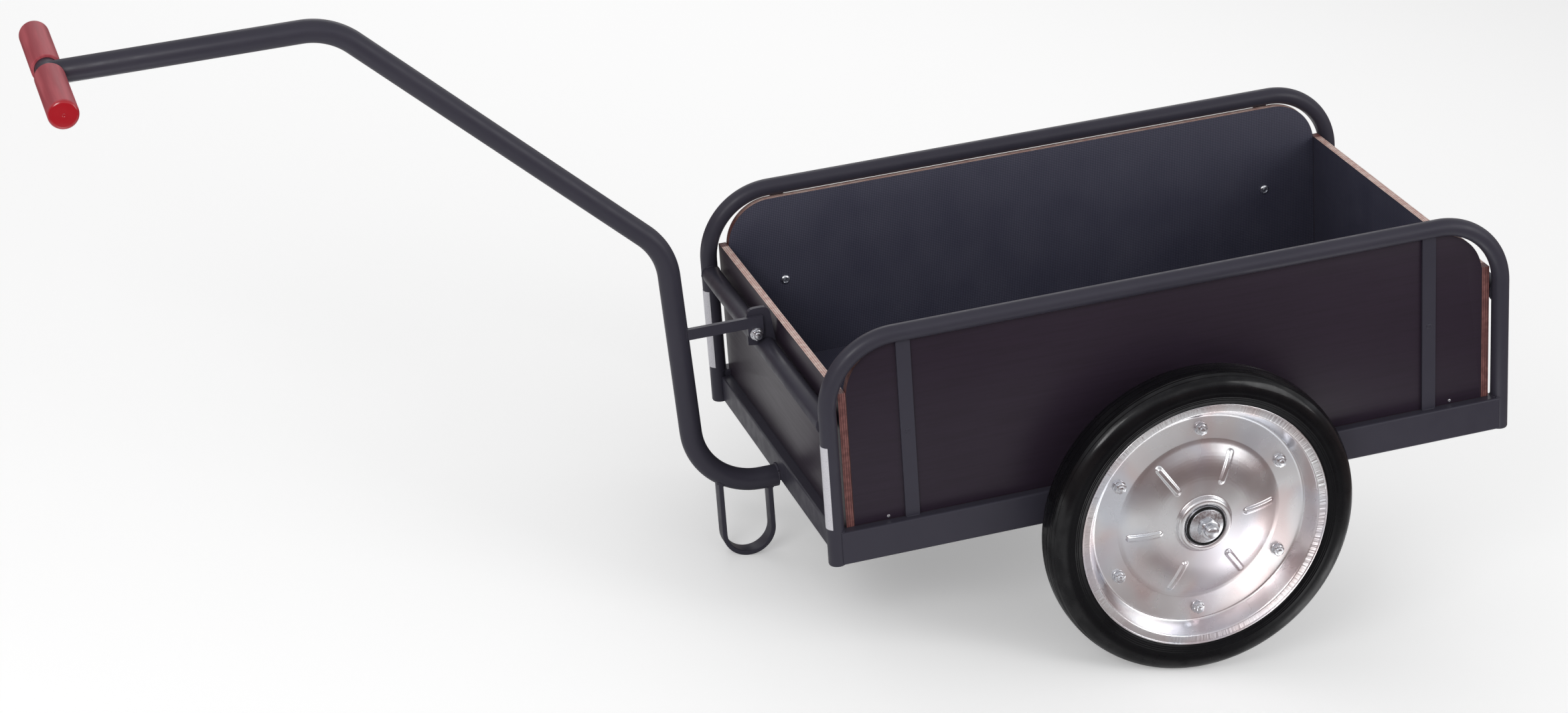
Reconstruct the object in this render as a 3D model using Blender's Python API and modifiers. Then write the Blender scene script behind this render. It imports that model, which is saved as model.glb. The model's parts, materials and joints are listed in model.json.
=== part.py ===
"""Two-wheeled hand cart with a plywood box, a tubular drawbar and a T-handle.

The chassis is drawn level: x forward to the handle, y to the cart's left, z up,
with its origin on the wheels' axle.  It is then tipped forward about that axle,
to the angle at which its parking foot and its wheels stand on one floor.
"""

import math

import bmesh
import bpy
from mathutils import Matrix, Vector

# Gap between pieces that touch.
SEAT = 0.0003

# Side hoops of round tube.
HOOP_TUBE_D = 0.022
HOOP_LENGTH = 0.878
HOOP_HEIGHT = 0.286
HOOP_SPACING = 0.505
BEND_RADIUS = 0.0865
LEG_STUB = 0.0015

# Bottom frame.
RAIL_HEIGHT = 0.043
RAIL_WIDTH = 0.020
RAIL_END_INSET = 0.004
RAIL_EDGE = 0.002
CROSS_HEIGHT = 0.035
CROSS_DEPTH = 0.020
CROSS_SETBACK = 0.0015
BEARER_SIZE = 0.020
BEARER_OFFSET = 0.210

# Crossbars between the legs.
CROSSBAR_D = 0.025
CROSSBAR_Z = 0.182

# Straps that hold the side panels.
STRAP_WIDTH = 0.018
STRAP_THICKNESS = 0.003
STRAP_INSET = 0.098

# Plywood box.
PLY = 0.010
END_PANEL_GAP = 0.0005
END_PANEL_TOP = 0.2205
SIDE_PANEL_DROP = 0.0008
SIDE_PANEL_CORNER = 0.060

# Axle and wheels.
FRONT_LEGS_AHEAD = 0.444
AXLE_BEAM = 0.018
AXLE_D = 0.016
WHEEL_RADIUS = 0.200
WHEEL_GAP = 0.0185
TYRE_WIDTH = 0.056
TYRE_HEIGHT = 0.048
TYRE_BULGE = 0.024
GROOVE_OFFSET = 0.008
GROOVE_WIDTH = 0.0024
GROOVE_DEPTH = 0.0016
SHEET = 0.0022
RIM_INSET = 0.004
LIP_HEIGHT = 0.009
LIP_BEAD = 0.0012

# Pressed discs, two to a wheel, bolted together at its middle.
WALL_DROP = 0.0025
WALL_LEAN = 0.0085
WALL_CORNER = 0.004
BOLT_RING_WIDTH = 0.0365
DOME_SHOULDER_INSET = 0.028
DOME_SHOULDER_RISE = 0.0112
DOME_RISE = 0.0136
DOME_CORNER = 0.120
COLLAR_WIDTH = 0.009
COLLAR_FOOT = 0.002
COLLAR_SETBACK = 0.0008
COLLAR_DEPTH = 0.0037
RIB_INNER_INSET = 0.0185
RIB_OUTER_INSET = 0.006
RIB_RADIUS = 0.0042
RIB_SINK = 0.0015
RIB_END = 0.003

# Wheel bolts, hubs and what holds the wheels on.
WHEEL_BOLT_INSET = 0.0285
WHEEL_BOLT_D = 0.008
WHEEL_BOLT_FLATS = 0.013
WHEEL_BOLT_HEAD = 0.0055
WHEEL_BOLT_NUT = 0.0065
HUB_RADIUS = 0.0255
HUB_LENGTH = 0.060
HUB_OUT = 0.024
SEAL_WIDTH = 0.0024
SEAL_RISE = 0.0012
SPINDLE_OUT = 0.022
SPINDLE_EDGE = 0.002
NUT_FLATS = 0.024
NUT_HEIGHT = 0.010
WASHER_THICKNESS = 0.0020
WASHER_DOME = 0.0020

# Drawbar of round tube.
DRAWBAR_D = 0.028
DRAWBAR_RISER_X = 0.102
DRAWBAR_KNEE_X = 0.117
DRAWBAR_KNEE_Z = 0.334
DRAWBAR_TOP_X = 0.489
HANDLE_X = 0.813
HANDLE_Z = 0.686
DRAWBAR_ROOT_Z = 0.002

# T-handle.
T_TUBE_D = 0.028
GRIP_D = 0.0355
GRIP_GAP = 0.030
GRIP_END_Y = 0.147
GRIP_WALL = 0.005
GRIP_EDGE = 0.005
GRIP_CROWN = 0.0008

# Foot, a bent flat bar.
FOOT_WIDTH = 0.020
FOOT_THICKNESS = 0.006
FOOT_FRONT_X = 0.075
FOOT_REAR_X = 0.011
FOOT_ARC_Z = -0.063
FOOT_FRONT_TOP = 0.026

# Brace from the drawbar to the front crossbar.
BRACE_Z = 0.220
BRACE_HEIGHT = 0.014
BRACE_THICKNESS = 0.006
BRACKET_THICKNESS = 0.006
BRACKET_BEHIND = 0.013
BRACKET_AHEAD = 0.023
BRACKET_SLANT = 0.006
BRACKET_RISE = 0.054
BRACKET_CORNER = 0.010
BRACE_BOLT_D = 0.008
BRACE_BOLT_X = 0.0135
BRACE_BOLT_RISE = 0.023
BRACE_BOLT_FLATS = 0.013
BRACE_BOLT_HEAD = 0.0055
BRACE_BOLT_END = 0.010
LUG_RADIUS = 0.010

# Chamfer of a hexagon head or nut, as shares of its corner radius and its height.
HEX_TOP_SHARE = 0.93
HEX_SIDE_SHARE = 0.82

# Worked out from the values above.
HOOP_R = HOOP_TUBE_D / 2
RAIL_BOTTOM = AXLE_BEAM / 2 + SEAT
FRONT_X = FRONT_LEGS_AHEAD
REAR_X = FRONT_X - HOOP_LENGTH
HOOP_Y = HOOP_SPACING / 2
RAIL_OUTER_Y = HOOP_Y + HOOP_R
PANEL_OUTER_Y = HOOP_Y - STRAP_THICKNESS / 2 + SEAT
WHEEL_MIDDLE_Y = RAIL_OUTER_Y + WHEEL_GAP + TYRE_WIDTH / 2
RIM_RADIUS = WHEEL_RADIUS - TYRE_HEIGHT
LIP_RADIUS = RIM_RADIUS + LIP_HEIGHT
RIM_BORE = RIM_RADIUS - SHEET
RIM_EDGE = TYRE_WIDTH / 2 - RIM_INSET
DISC_FACE = SHEET + SEAT / 2
BOLT_RING_OUTER = RIM_BORE - WALL_DROP - WALL_LEAN
BOLT_RING_INNER = BOLT_RING_OUTER - BOLT_RING_WIDTH
BOLT_CIRCLE = RIM_BORE - WHEEL_BOLT_INSET
GROOVE_RADIUS = HUB_RADIUS + COLLAR_WIDTH + COLLAR_FOOT
HUB_OUTER_Y = WHEEL_MIDDLE_Y + HUB_OUT
SPINDLE_END_Y = HUB_OUTER_Y + SPINDLE_OUT

# How finely round pieces are drawn, how far cutters reach, and the wheels' patterns in degrees.
ROUND_SIDES = 5
WHEEL_STEPS = 28
HUB_STEPS = 16
CUTTER_REACH = 0.100
TYRE_ROUNDNESS = 2.6
WHEEL_PATTERN = 6
BOLT_TURN = 19
RIB_TURN = 43


def clear_scene():
    for obj in list(bpy.data.objects):
        bpy.data.objects.remove(obj, do_unlink=True)


def collection(name):
    made = bpy.data.collections.new(name)
    bpy.context.scene.collection.children.link(made)
    return made


def material(name, colour, roughness, metallic=0.0):
    made = bpy.data.materials.new(name)
    made.use_nodes = True
    shader = made.node_tree.nodes["Principled BSDF"]
    shader.inputs["Base Color"].default_value = (*colour, 1.0)
    shader.inputs["Roughness"].default_value = roughness
    shader.inputs["Metallic"].default_value = metallic
    return made


def place(obj, parts, parent, mat):
    """Put a finished object in the parts collection, under the empty that carries it."""
    for owner in list(obj.users_collection):
        owner.objects.unlink(obj)
    parts.objects.link(obj)
    obj.parent = parent
    obj.data.materials.clear()
    obj.data.materials.append(mat)
    return obj


def mesh_object(name, bm):
    mesh = bpy.data.meshes.new(name)
    bm.to_mesh(mesh)
    bm.free()
    obj = bpy.data.objects.new(name, mesh)
    bpy.context.scene.collection.objects.link(obj)
    return obj


def box(name, low, high, bevel=0.0):
    """A box between two corners, with edges that can be rounded."""
    bm = bmesh.new()
    bmesh.ops.create_cube(bm, size=1.0)
    size = [h - l for l, h in zip(low, high)]
    middle = [(h + l) / 2 for l, h in zip(low, high)]
    bmesh.ops.scale(bm, vec=size, verts=bm.verts)
    bmesh.ops.translate(bm, vec=middle, verts=bm.verts)
    obj = mesh_object(name, bm)
    if bevel:
        rounding = obj.modifiers.new("Rounded edges", "BEVEL")
        rounding.width = bevel
        rounding.segments = 2
    return obj


def rod(name, start, end, radius, sides=20):
    """A round bar between two points."""
    start, end = Vector(start), Vector(end)
    bm = bmesh.new()
    bmesh.ops.create_cone(bm, cap_ends=True, segments=sides, radius1=radius,
                          radius2=radius, depth=(end - start).length)
    turn = (end - start).to_track_quat("Z", "Y").to_matrix().to_4x4()
    bmesh.ops.transform(bm, matrix=Matrix.Translation((start + end) / 2) @ turn, verts=bm.verts)
    obj = mesh_object(name, bm)
    obj.data.shade_smooth()
    obj.data.set_sharp_from_angle(angle=math.radians(40))
    return obj


def arc(before, corner, after, radius, steps):
    """Points of the arc that rounds a corner between two others."""
    back = (before - corner).normalized()
    ahead = (after - corner).normalized()
    half = back.angle(ahead) / 2
    centre = corner + (back + ahead).normalized() * radius / math.sin(half)
    first = (corner + back * radius / math.tan(half) - centre).normalized()
    last = (corner + ahead * radius / math.tan(half) - centre).normalized()
    return [centre + first.slerp(last, i / steps) * radius for i in range(steps + 1)]


def filleted(corners, radius, steps=7):
    """Points of a route through corners, each inner corner rounded to an arc."""
    corners = [Vector(c) for c in corners]
    points = [corners[0]]
    for before, corner, after in zip(corners, corners[1:], corners[2:]):
        points += arc(before, corner, after, radius, steps)
    points.append(corners[-1])
    return points


def rounded_profile(corners, steps=3):
    """Points of a profile whose corners are (radius, offset, fillet), each fillet held by its walls."""
    spots = [Vector((r, 0, o)) for r, o, _ in corners]
    points = [spots[0]]
    for before, spot, after, (_, _, fillet) in zip(spots, spots[1:], spots[2:], corners[1:]):
        half = (before - spot).angle(after - spot) / 2
        room = min((before - spot).length, (after - spot).length) / 2 * math.tan(half)
        points += arc(before, spot, after, min(fillet, room), steps) if fillet else [spot]
    points.append(spots[-1])
    return [(p.x, p.z) for p in points]


def parallel(points, gap):
    """The same flat line moved by a gap to the right of its direction."""
    spots = [Vector(p) for p in points]
    sides = []
    for a, b in zip(spots, spots[1:]):
        along = (b - a).normalized()
        sides.append(Vector((along.y, -along.x)))
    sides = [sides[0]] + sides + [sides[-1]]
    moved = []
    for spot, one, two in zip(spots, sides, sides[1:]):
        moved.append(spot + (one + two) * gap / (1 + one.dot(two)))
    return [(p.x, p.y) for p in moved]


def mirrored(half):
    """A closed profile from its half at positive offsets, listed from the outside in."""
    return half[::-1] + [(r, -o) for r, o in half if o > 0]


def height(line, radius):
    """The offset of a profile line at a radius."""
    for (r0, o0), (r1, o1) in zip(line, line[1:]):
        if r0 <= radius <= r1 and r0 < r1:
            return o0 + (o1 - o0) * (radius - r0) / (r1 - r0)
    return line[-1][1]


def tube(name, points, radius, sides=ROUND_SIDES, swell=None):
    """A tube of round section along a list of points, with filled ends."""
    curve = bpy.data.curves.new(name, "CURVE")
    curve.dimensions = "3D"
    curve.bevel_depth = radius
    curve.bevel_resolution = sides
    curve.use_fill_caps = True
    spline = curve.splines.new("POLY")
    spline.points.add(len(points) - 1)
    for spot, point, share in zip(spline.points, points, swell or [1.0] * len(points)):
        spot.co = (*point, 1.0)
        spot.radius = share
    obj = bpy.data.objects.new(name, curve)
    bpy.context.scene.collection.objects.link(obj)
    return obj


def to_mesh(obj):
    """The same shape as a mesh whose caps are welded on, for cutting and joining."""
    name = obj.name
    graph = bpy.context.evaluated_depsgraph_get()
    mesh = bpy.data.meshes.new_from_object(obj.evaluated_get(graph))
    bm = bmesh.new()
    bm.from_mesh(mesh)
    bmesh.ops.remove_doubles(bm, verts=bm.verts, dist=1e-5)
    bmesh.ops.recalc_face_normals(bm, faces=bm.faces)
    bm.to_mesh(mesh)
    bm.free()
    matrix = obj.matrix_world.copy()
    bpy.data.objects.remove(obj, do_unlink=True)
    made = bpy.data.objects.new(name, mesh)
    made.matrix_world = matrix
    bpy.context.scene.collection.objects.link(made)
    return made


def outline(name, points, thickness, matrix):
    """A flat plate: a closed 2D outline with a thickness, set in place by a matrix."""
    curve = bpy.data.curves.new(name, "CURVE")
    curve.dimensions = "2D"
    curve.fill_mode = "BOTH"
    curve.extrude = thickness / 2
    spline = curve.splines.new("POLY")
    spline.points.add(len(points) - 1)
    for spot, (u, v) in zip(spline.points, points):
        spot.co = (u, v, 0.0, 1.0)
    spline.use_cyclic_u = True
    obj = bpy.data.objects.new(name, curve)
    obj.matrix_world = matrix
    bpy.context.scene.collection.objects.link(obj)
    return to_mesh(obj)


def upright(y):
    """The matrix that stands an outline drawn in (x, z) on the plane at a given y."""
    return Matrix.Translation((0, y, 0)) @ Matrix.Rotation(math.radians(90), 4, "X")


def crosswise(x):
    """The matrix that stands an outline drawn in (y, z) on the plane at a given x."""
    quarter = math.radians(90)
    return Matrix.Translation((x, 0, 0)) @ Matrix.Rotation(quarter, 4, "Z") @ Matrix.Rotation(quarter, 4, "X")


def turned(name, profile, steps=64):
    """A profile of (radius, offset) points turned about the Y axis.

    It closes on itself, unless it starts and ends on the axis.
    """
    bm = bmesh.new()
    ring = [bm.verts.new((radius, 0.0, offset)) for radius, offset in profile]
    on_axis = profile[0][0] == 0 and profile[-1][0] == 0
    for a, b in zip(ring, ring[1:] if on_axis else ring[1:] + ring[:1]):
        bm.edges.new((a, b))
    obj = mesh_object(name, bm)
    screw = obj.modifiers.new("Turned", "SCREW")
    screw.axis = "Z"
    screw.steps = steps
    screw.render_steps = steps
    screw.use_merge_vertices = True
    screw.merge_threshold = 0.00002
    obj.rotation_euler = (math.radians(-90), 0, 0)
    return obj


def combine(obj, tool, cutters, carrier, operation):
    """Cut or join one object by another, which is kept hidden among the cutters."""
    for owner in list(tool.users_collection):
        owner.objects.unlink(tool)
    cutters.objects.link(tool)
    tool.parent = carrier
    tool.hide_render = True
    tool.display_type = "WIRE"
    boolean = obj.modifiers.new(operation.title(), "BOOLEAN")
    boolean.operation = operation
    boolean.solver = "EXACT"
    boolean.object = tool


def cut(obj, cutter, cutters, carrier):
    combine(obj, cutter, cutters, carrier, "DIFFERENCE")


def leg_cope(name, x, side):
    """A cutter round one leg, from below the frame to above the crossbars."""
    y = side * HOOP_Y
    return rod(f"{name}_cope_{side_name(side)}", (x, y, -CUTTER_REACH),
               (x, y, HOOP_HEIGHT), HOOP_R + SEAT)


def cross_rod(name, x, z, radius):
    """A cutter along y, longer than any piece it goes through."""
    return rod(name, (x, -CUTTER_REACH, z), (x, CUTTER_REACH, z), radius)


def parking_pitch():
    """How far the level chassis tips before its foot reaches the wheels' floor."""
    arc_x = FRONT_X + (FOOT_FRONT_X + FOOT_REAR_X) / 2
    arc_z = RAIL_BOTTOM + FOOT_ARC_Z
    arc_outer = (FOOT_FRONT_X - FOOT_REAR_X) / 2 + FOOT_THICKNESS / 2
    reach = math.hypot(arc_x, arc_z)
    return math.acos((arc_outer - WHEEL_RADIUS) / reach) - math.atan2(arc_x, arc_z)


def hoop(side, steel, parts, chassis):
    y = side * HOOP_Y
    bottom = RAIL_BOTTOM - LEG_STUB
    top = RAIL_BOTTOM + HOOP_HEIGHT
    corners = [(FRONT_X, y, bottom), (FRONT_X, y, top), (REAR_X, y, top), (REAR_X, y, bottom)]
    obj = tube("hoop_" + side_name(side), filleted(corners, BEND_RADIUS), HOOP_R)
    place(obj, parts, chassis, steel)


def side_name(side):
    return "left" if side > 0 else "right"


def ordered(low, high):
    """Two corners put in rising order on each axis."""
    return tuple(map(min, zip(low, high))), tuple(map(max, zip(low, high)))


def rail(side, steel, parts, cutters, chassis):
    name = "rail_" + side_name(side)
    low, high = ordered(
        (REAR_X + RAIL_END_INSET, side * (RAIL_OUTER_Y - RAIL_WIDTH), RAIL_BOTTOM),
        (FRONT_X - RAIL_END_INSET, side * RAIL_OUTER_Y, RAIL_BOTTOM + RAIL_HEIGHT))
    obj = box(name, low, high, RAIL_EDGE)
    for end, x in (("front", FRONT_X), ("rear", REAR_X)):
        cut(obj, leg_cope(f"{name}_{end}", x, side), cutters, chassis)
    place(obj, parts, chassis, steel)


def cross_member(name, x_leg, inward, steel, parts, cutters, chassis):
    """A bottom cross member between the legs; inward is the sign towards the box."""
    reach = RAIL_OUTER_Y - RAIL_WIDTH - SEAT
    low, high = ordered(
        (x_leg + inward * CROSS_SETBACK, -reach, RAIL_BOTTOM),
        (x_leg + inward * (CROSS_SETBACK + CROSS_DEPTH), reach, RAIL_BOTTOM + CROSS_HEIGHT))
    obj = box(name, low, high, RAIL_EDGE)
    for side in (1, -1):
        cut(obj, leg_cope(name, x_leg, side), cutters, chassis)
    place(obj, parts, chassis, steel)


def crossbar(name, x, steel, parts, cutters, chassis):
    """A round bar between two legs, its ends coped round them."""
    z = RAIL_BOTTOM + CROSSBAR_Z
    reach = HOOP_Y - HOOP_R / 2
    obj = rod(name, (x, -reach, z), (x, reach, z), CROSSBAR_D / 2)
    for side in (1, -1):
        cut(obj, leg_cope(name, x, side), cutters, chassis)
    place(obj, parts, chassis, steel)


def strap(side, end, x, steel, parts, chassis):
    low, high = ordered(
        (x - STRAP_WIDTH / 2, side * (PANEL_OUTER_Y + SEAT), RAIL_BOTTOM + RAIL_HEIGHT + SEAT),
        (x + STRAP_WIDTH / 2, side * (PANEL_OUTER_Y + SEAT + STRAP_THICKNESS),
         RAIL_BOTTOM + HOOP_HEIGHT - HOOP_R - SEAT))
    obj = box(f"strap_{side_name(side)}_{end}", low, high)
    place(obj, parts, chassis, steel)


def box_ends():
    """The inner faces of the front and rear panels, along x, clear of the crossbars and the hoops' bends."""
    rise = max(0.0, END_PANEL_TOP - (HOOP_HEIGHT - BEND_RADIUS))
    bend = BEND_RADIUS - math.sqrt((BEND_RADIUS - HOOP_R) ** 2 - rise ** 2)
    inset = max(CROSSBAR_D / 2, bend) + END_PANEL_GAP + PLY
    return REAR_X + inset, FRONT_X - inset


def side_panel(side, wood, parts, chassis):
    rear, front = box_ends()
    rear += SEAT
    front -= SEAT
    bottom = RAIL_BOTTOM + RAIL_HEIGHT + SEAT
    top = RAIL_BOTTOM + HOOP_HEIGHT - HOOP_R - SIDE_PANEL_DROP
    corners = [(rear, 0, bottom), (rear, 0, top), (front, 0, top), (front, 0, bottom)]
    points = [(p.x, p.z) for p in filleted(corners, SIDE_PANEL_CORNER)]
    obj = outline("side_panel_" + side_name(side), points, PLY,
                  upright(side * (PANEL_OUTER_Y - PLY / 2)))
    place(obj, parts, chassis, wood)


def end_panel(name, inner_x, outward, wood, parts, chassis):
    """A panel across the box, its lower corners notched round the rails."""
    between_rails = RAIL_OUTER_Y - RAIL_WIDTH - SEAT
    foot_z = RAIL_BOTTOM + CROSS_HEIGHT + SEAT
    notch_z = RAIL_BOTTOM + RAIL_HEIGHT + SEAT
    top = RAIL_BOTTOM + END_PANEL_TOP
    half = [(between_rails, foot_z), (between_rails, notch_z),
            (PANEL_OUTER_Y, notch_z), (PANEL_OUTER_Y, top)]
    points = half + [(-u, v) for u, v in half[::-1]]
    obj = outline(name, points, PLY, crosswise(inner_x + outward * PLY / 2))
    place(obj, parts, chassis, wood)


def floor_panel(wood, parts, chassis):
    rear, front = box_ends()
    half = PANEL_OUTER_Y - PLY - SEAT
    z = RAIL_BOTTOM + CROSS_HEIGHT + SEAT
    obj = box("floor_panel", (rear + SEAT, -half, z), (front - SEAT, half, z + PLY))
    place(obj, parts, chassis, wood)


def floor_bearer(name, x, steel, parts, chassis):
    """A square tube across the frame, under the floor panel and between the rails."""
    reach = RAIL_OUTER_Y - RAIL_WIDTH - SEAT
    top = RAIL_BOTTOM + CROSS_HEIGHT
    half = BEARER_SIZE / 2
    obj = box(name, (x - half, -reach, top - BEARER_SIZE), (x + half, reach, top))
    place(obj, parts, chassis, steel)


def axle(steel, parts, chassis):
    """A square beam under the rails with a round spindle at each end."""
    half = AXLE_BEAM / 2
    beam = box("axle", (-half, -RAIL_OUTER_Y, -half), (half, RAIL_OUTER_Y, half))
    place(beam, parts, chassis, steel)
    return beam


def hole(radius, steps):
    """The corner radius of a drawn hole whose flats stand clear of a round bar."""
    return (radius + SEAT) / math.cos(math.pi / steps)


def on_axle(obj, side, y):
    """Turn a profile's offsets outward along the axle and seat it at a distance from the middle."""
    obj.location = (0, side * y, 0)
    obj.rotation_euler = (math.radians(-90 * side), 0, 0)


def spindle(side, zinc, parts, chassis):
    """The round end of the axle, from the beam out past the wheel's nut."""
    start, end = RAIL_OUTER_Y + SEAT, SPINDLE_END_Y
    radius = AXLE_D / 2
    profile = [(0, end), (radius - SPINDLE_EDGE, end), (radius, end - SPINDLE_EDGE),
               (radius, start), (0, start)]
    obj = turned("spindle_" + side_name(side), profile, HUB_STEPS)
    on_axle(obj, side, 0)
    place(obj, parts, chassis, zinc)


def nut(side, zinc, parts, chassis):
    """A hexagon nut with a hexagonal hole, its flats as far from the axis as the bore's wall."""
    corner = NUT_FLATS / math.sqrt(3)
    bore = hole(AXLE_D / 2, 6)
    profile = [(bore, NUT_HEIGHT), (corner * HEX_TOP_SHARE, NUT_HEIGHT),
               (corner, NUT_HEIGHT * HEX_SIDE_SHARE), (corner, 0), (bore, 0)]
    obj = turned("nut_" + side_name(side), profile, steps=6)
    on_axle(obj, side, HUB_OUTER_Y + WASHER_THICKNESS + WASHER_DOME + 2 * SEAT)
    place(obj, parts, chassis, zinc)


def washer(side, zinc, parts, chassis):
    """A domed washer inside the hub's seal, under the nut."""
    bore = hole(AXLE_D / 2, HUB_STEPS)
    outer = HUB_RADIUS - SEAL_WIDTH
    flat = NUT_FLATS / 2
    profile = [(bore, WASHER_THICKNESS + WASHER_DOME), (flat, WASHER_THICKNESS + WASHER_DOME),
               (outer, WASHER_THICKNESS), (outer, 0), (bore, 0)]
    obj = turned("washer_" + side_name(side), profile, HUB_STEPS)
    on_axle(obj, side, HUB_OUTER_Y + SEAT)
    place(obj, parts, chassis, zinc)


def drawbar_corners():
    """Corner points of the drawbar's centre line, from the frame up to the handle."""
    root_z = RAIL_BOTTOM + DRAWBAR_ROOT_Z
    top_z = RAIL_BOTTOM + HANDLE_Z
    return [(FRONT_X - CROSS_SETBACK + SEAT, 0, root_z), (FRONT_X + DRAWBAR_RISER_X, 0, root_z),
            (FRONT_X + DRAWBAR_KNEE_X, 0, RAIL_BOTTOM + DRAWBAR_KNEE_Z),
            (FRONT_X + DRAWBAR_TOP_X, 0, top_z), (FRONT_X + HANDLE_X, 0, top_z)]


def drawbar_tube(name, extra):
    """The drawbar's route as a mesh tube, fatter than the drawbar by an extra radius."""
    return to_mesh(tube(name, filleted(drawbar_corners(), BEND_RADIUS), DRAWBAR_D / 2 + extra))


def drawbar(steel, parts, cutters, chassis):
    obj = drawbar_tube("drawbar", 0.0)
    z = RAIL_BOTTOM + HANDLE_Z
    x = FRONT_X + HANDLE_X
    cut(obj, cross_rod("drawbar_cope", x, z, T_TUBE_D / 2 + SEAT), cutters, chassis)
    place(obj, parts, chassis, steel)


def t_handle(steel, grip_red, parts, chassis):
    x = FRONT_X + HANDLE_X
    z = RAIL_BOTTOM + HANDLE_Z
    bore_end = GRIP_END_Y - GRIP_WALL
    reach = bore_end - SEAT
    cross = rod("t_handle", (x, -reach, z), (x, reach, z), T_TUBE_D / 2)
    place(cross, parts, chassis, steel)
    outer = GRIP_D / 2
    bore = T_TUBE_D / 2 + SEAT
    start = GRIP_GAP / 2
    profile = rounded_profile([
        (0, GRIP_END_Y, 0), (outer, GRIP_END_Y - GRIP_CROWN, GRIP_EDGE),
        (outer, start, 0), (bore, start, 0), (bore, bore_end, 0), (0, bore_end, 0)])
    for side in (1, -1):
        grip = turned("grip_" + side_name(side), profile, steps=20)
        grip.location = (x, 0, z)
        grip.rotation_euler = (math.radians(-90 * side), 0, 0)
        place(grip, parts, chassis, grip_red)


def foot(steel, parts, cutters, chassis):
    """A flat bar bent to a U, its tops coped round the drawbar's underside."""
    half = FOOT_THICKNESS / 2
    middle = FRONT_X + (FOOT_FRONT_X + FOOT_REAR_X) / 2
    radius = (FOOT_FRONT_X - FOOT_REAR_X) / 2
    arc_z = RAIL_BOTTOM + FOOT_ARC_Z
    tops = (RAIL_BOTTOM + FOOT_FRONT_TOP, RAIL_BOTTOM + DRAWBAR_ROOT_Z)

    def line(offset):
        r = radius + offset
        arc = [(middle + r * math.cos(a), arc_z - r * math.sin(a))
               for a in [math.radians(180 * i / 16) for i in range(17)]]
        return [(middle + r, tops[0])] + arc + [(middle - r, tops[1])]

    points = line(half) + line(-half)[::-1]
    obj = outline("foot", points, FOOT_WIDTH, upright(0))
    cut(obj, drawbar_tube("foot_cope", SEAT), cutters, chassis)
    place(obj, parts, chassis, steel)


def brace(steel, zinc, parts, cutters, chassis):
    """A bracket on the front crossbar and a strut bolted to it from the drawbar."""
    bar_z = RAIL_BOTTOM + CROSSBAR_Z
    bolt = (FRONT_X + BRACE_BOLT_X, bar_z + BRACE_BOLT_RISE)
    low, high = FRONT_X - BRACKET_BEHIND, FRONT_X + BRACKET_AHEAD
    corners = [(low, 0, bar_z), (low + BRACKET_SLANT, 0, bar_z + BRACKET_RISE),
               (high, 0, bar_z + BRACKET_RISE), (high, 0, bar_z + CROSSBAR_D / 4)]
    points = [(p.x, p.z) for p in filleted(corners, BRACKET_CORNER, steps=4)]
    plate = outline("brace_bracket", points, BRACKET_THICKNESS, upright(0))
    cut(plate, cross_rod("bracket_cope", FRONT_X, bar_z, CROSSBAR_D / 2 + SEAT), cutters, chassis)
    cut(plate, cross_rod("bracket_hole", *bolt, BRACE_BOLT_D / 2 + SEAT), cutters, chassis)
    place(plate, parts, chassis, steel)

    y = BRACKET_THICKNESS / 2 + SEAT + BRACE_THICKNESS / 2
    z = RAIL_BOTTOM + BRACE_Z
    half = BRACE_HEIGHT / 2
    lug = [(bolt[0] + LUG_RADIUS * math.cos(a), bolt[1] + LUG_RADIUS * math.sin(a))
           for a in [math.radians(180 + 180 * i / 12) for i in range(13)]]
    points = [(bolt[0] - LUG_RADIUS, z + half)] + lug + [
        (bolt[0] + LUG_RADIUS, z - half),
        (FRONT_X + DRAWBAR_RISER_X, z - half), (FRONT_X + DRAWBAR_RISER_X, z + half)]
    strut = outline("brace_strut", points, BRACE_THICKNESS, upright(y))
    cut(strut, drawbar_tube("strut_cope", SEAT), cutters, chassis)
    cut(strut, cross_rod("strut_hole", *bolt, BRACE_BOLT_D / 2 + SEAT), cutters, chassis)
    place(strut, parts, chassis, steel)

    face = y + BRACE_THICKNESS / 2 + SEAT
    corner = BRACE_BOLT_FLATS / math.sqrt(3)
    shank = BRACE_BOLT_D / 2
    length = face + BRACKET_THICKNESS / 2 + BRACE_BOLT_END
    profile = [(0, BRACE_BOLT_HEAD), (corner * HEX_TOP_SHARE, BRACE_BOLT_HEAD),
               (corner, BRACE_BOLT_HEAD * HEX_SIDE_SHARE), (corner, 0), (shank, 0),
               (shank, -length), (0, -length)]
    bolt_obj = turned("brace_bolt", profile, steps=6)
    bolt_obj.location = (bolt[0], face, bolt[1])
    place(bolt_obj, parts, chassis, zinc)


def tyre_profile():
    """A rounded tread with two grooves, and notches at its bore for the rim's lips."""
    half_width = TYRE_WIDTH / 2
    base = WHEEL_RADIUS - TYRE_BULGE

    def crown(offset):
        share = 1 - (offset / half_width) ** TYRE_ROUNDNESS
        return base + TYRE_BULGE * share ** (1 / TYRE_ROUNDNESS)

    near, far = GROOVE_OFFSET - GROOVE_WIDTH / 2, GROOVE_OFFSET + GROOVE_WIDTH / 2
    half = [(WHEEL_RADIUS, 0), (crown(near), near), (crown(GROOVE_OFFSET) - GROOVE_DEPTH, GROOVE_OFFSET),
            (crown(far), far)]
    half += [(crown(share * half_width), share * half_width) for share in (0.68, 0.86, 0.97)]
    lip = LIP_RADIUS + SEAT
    under_lip = RIM_EDGE - SHEET - SEAT
    half += [(base, half_width), (lip, RIM_EDGE + LIP_BEAD / 2), (lip, under_lip),
             (RIM_RADIUS + SEAT, under_lip)]
    return mirrored(half)


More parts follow.
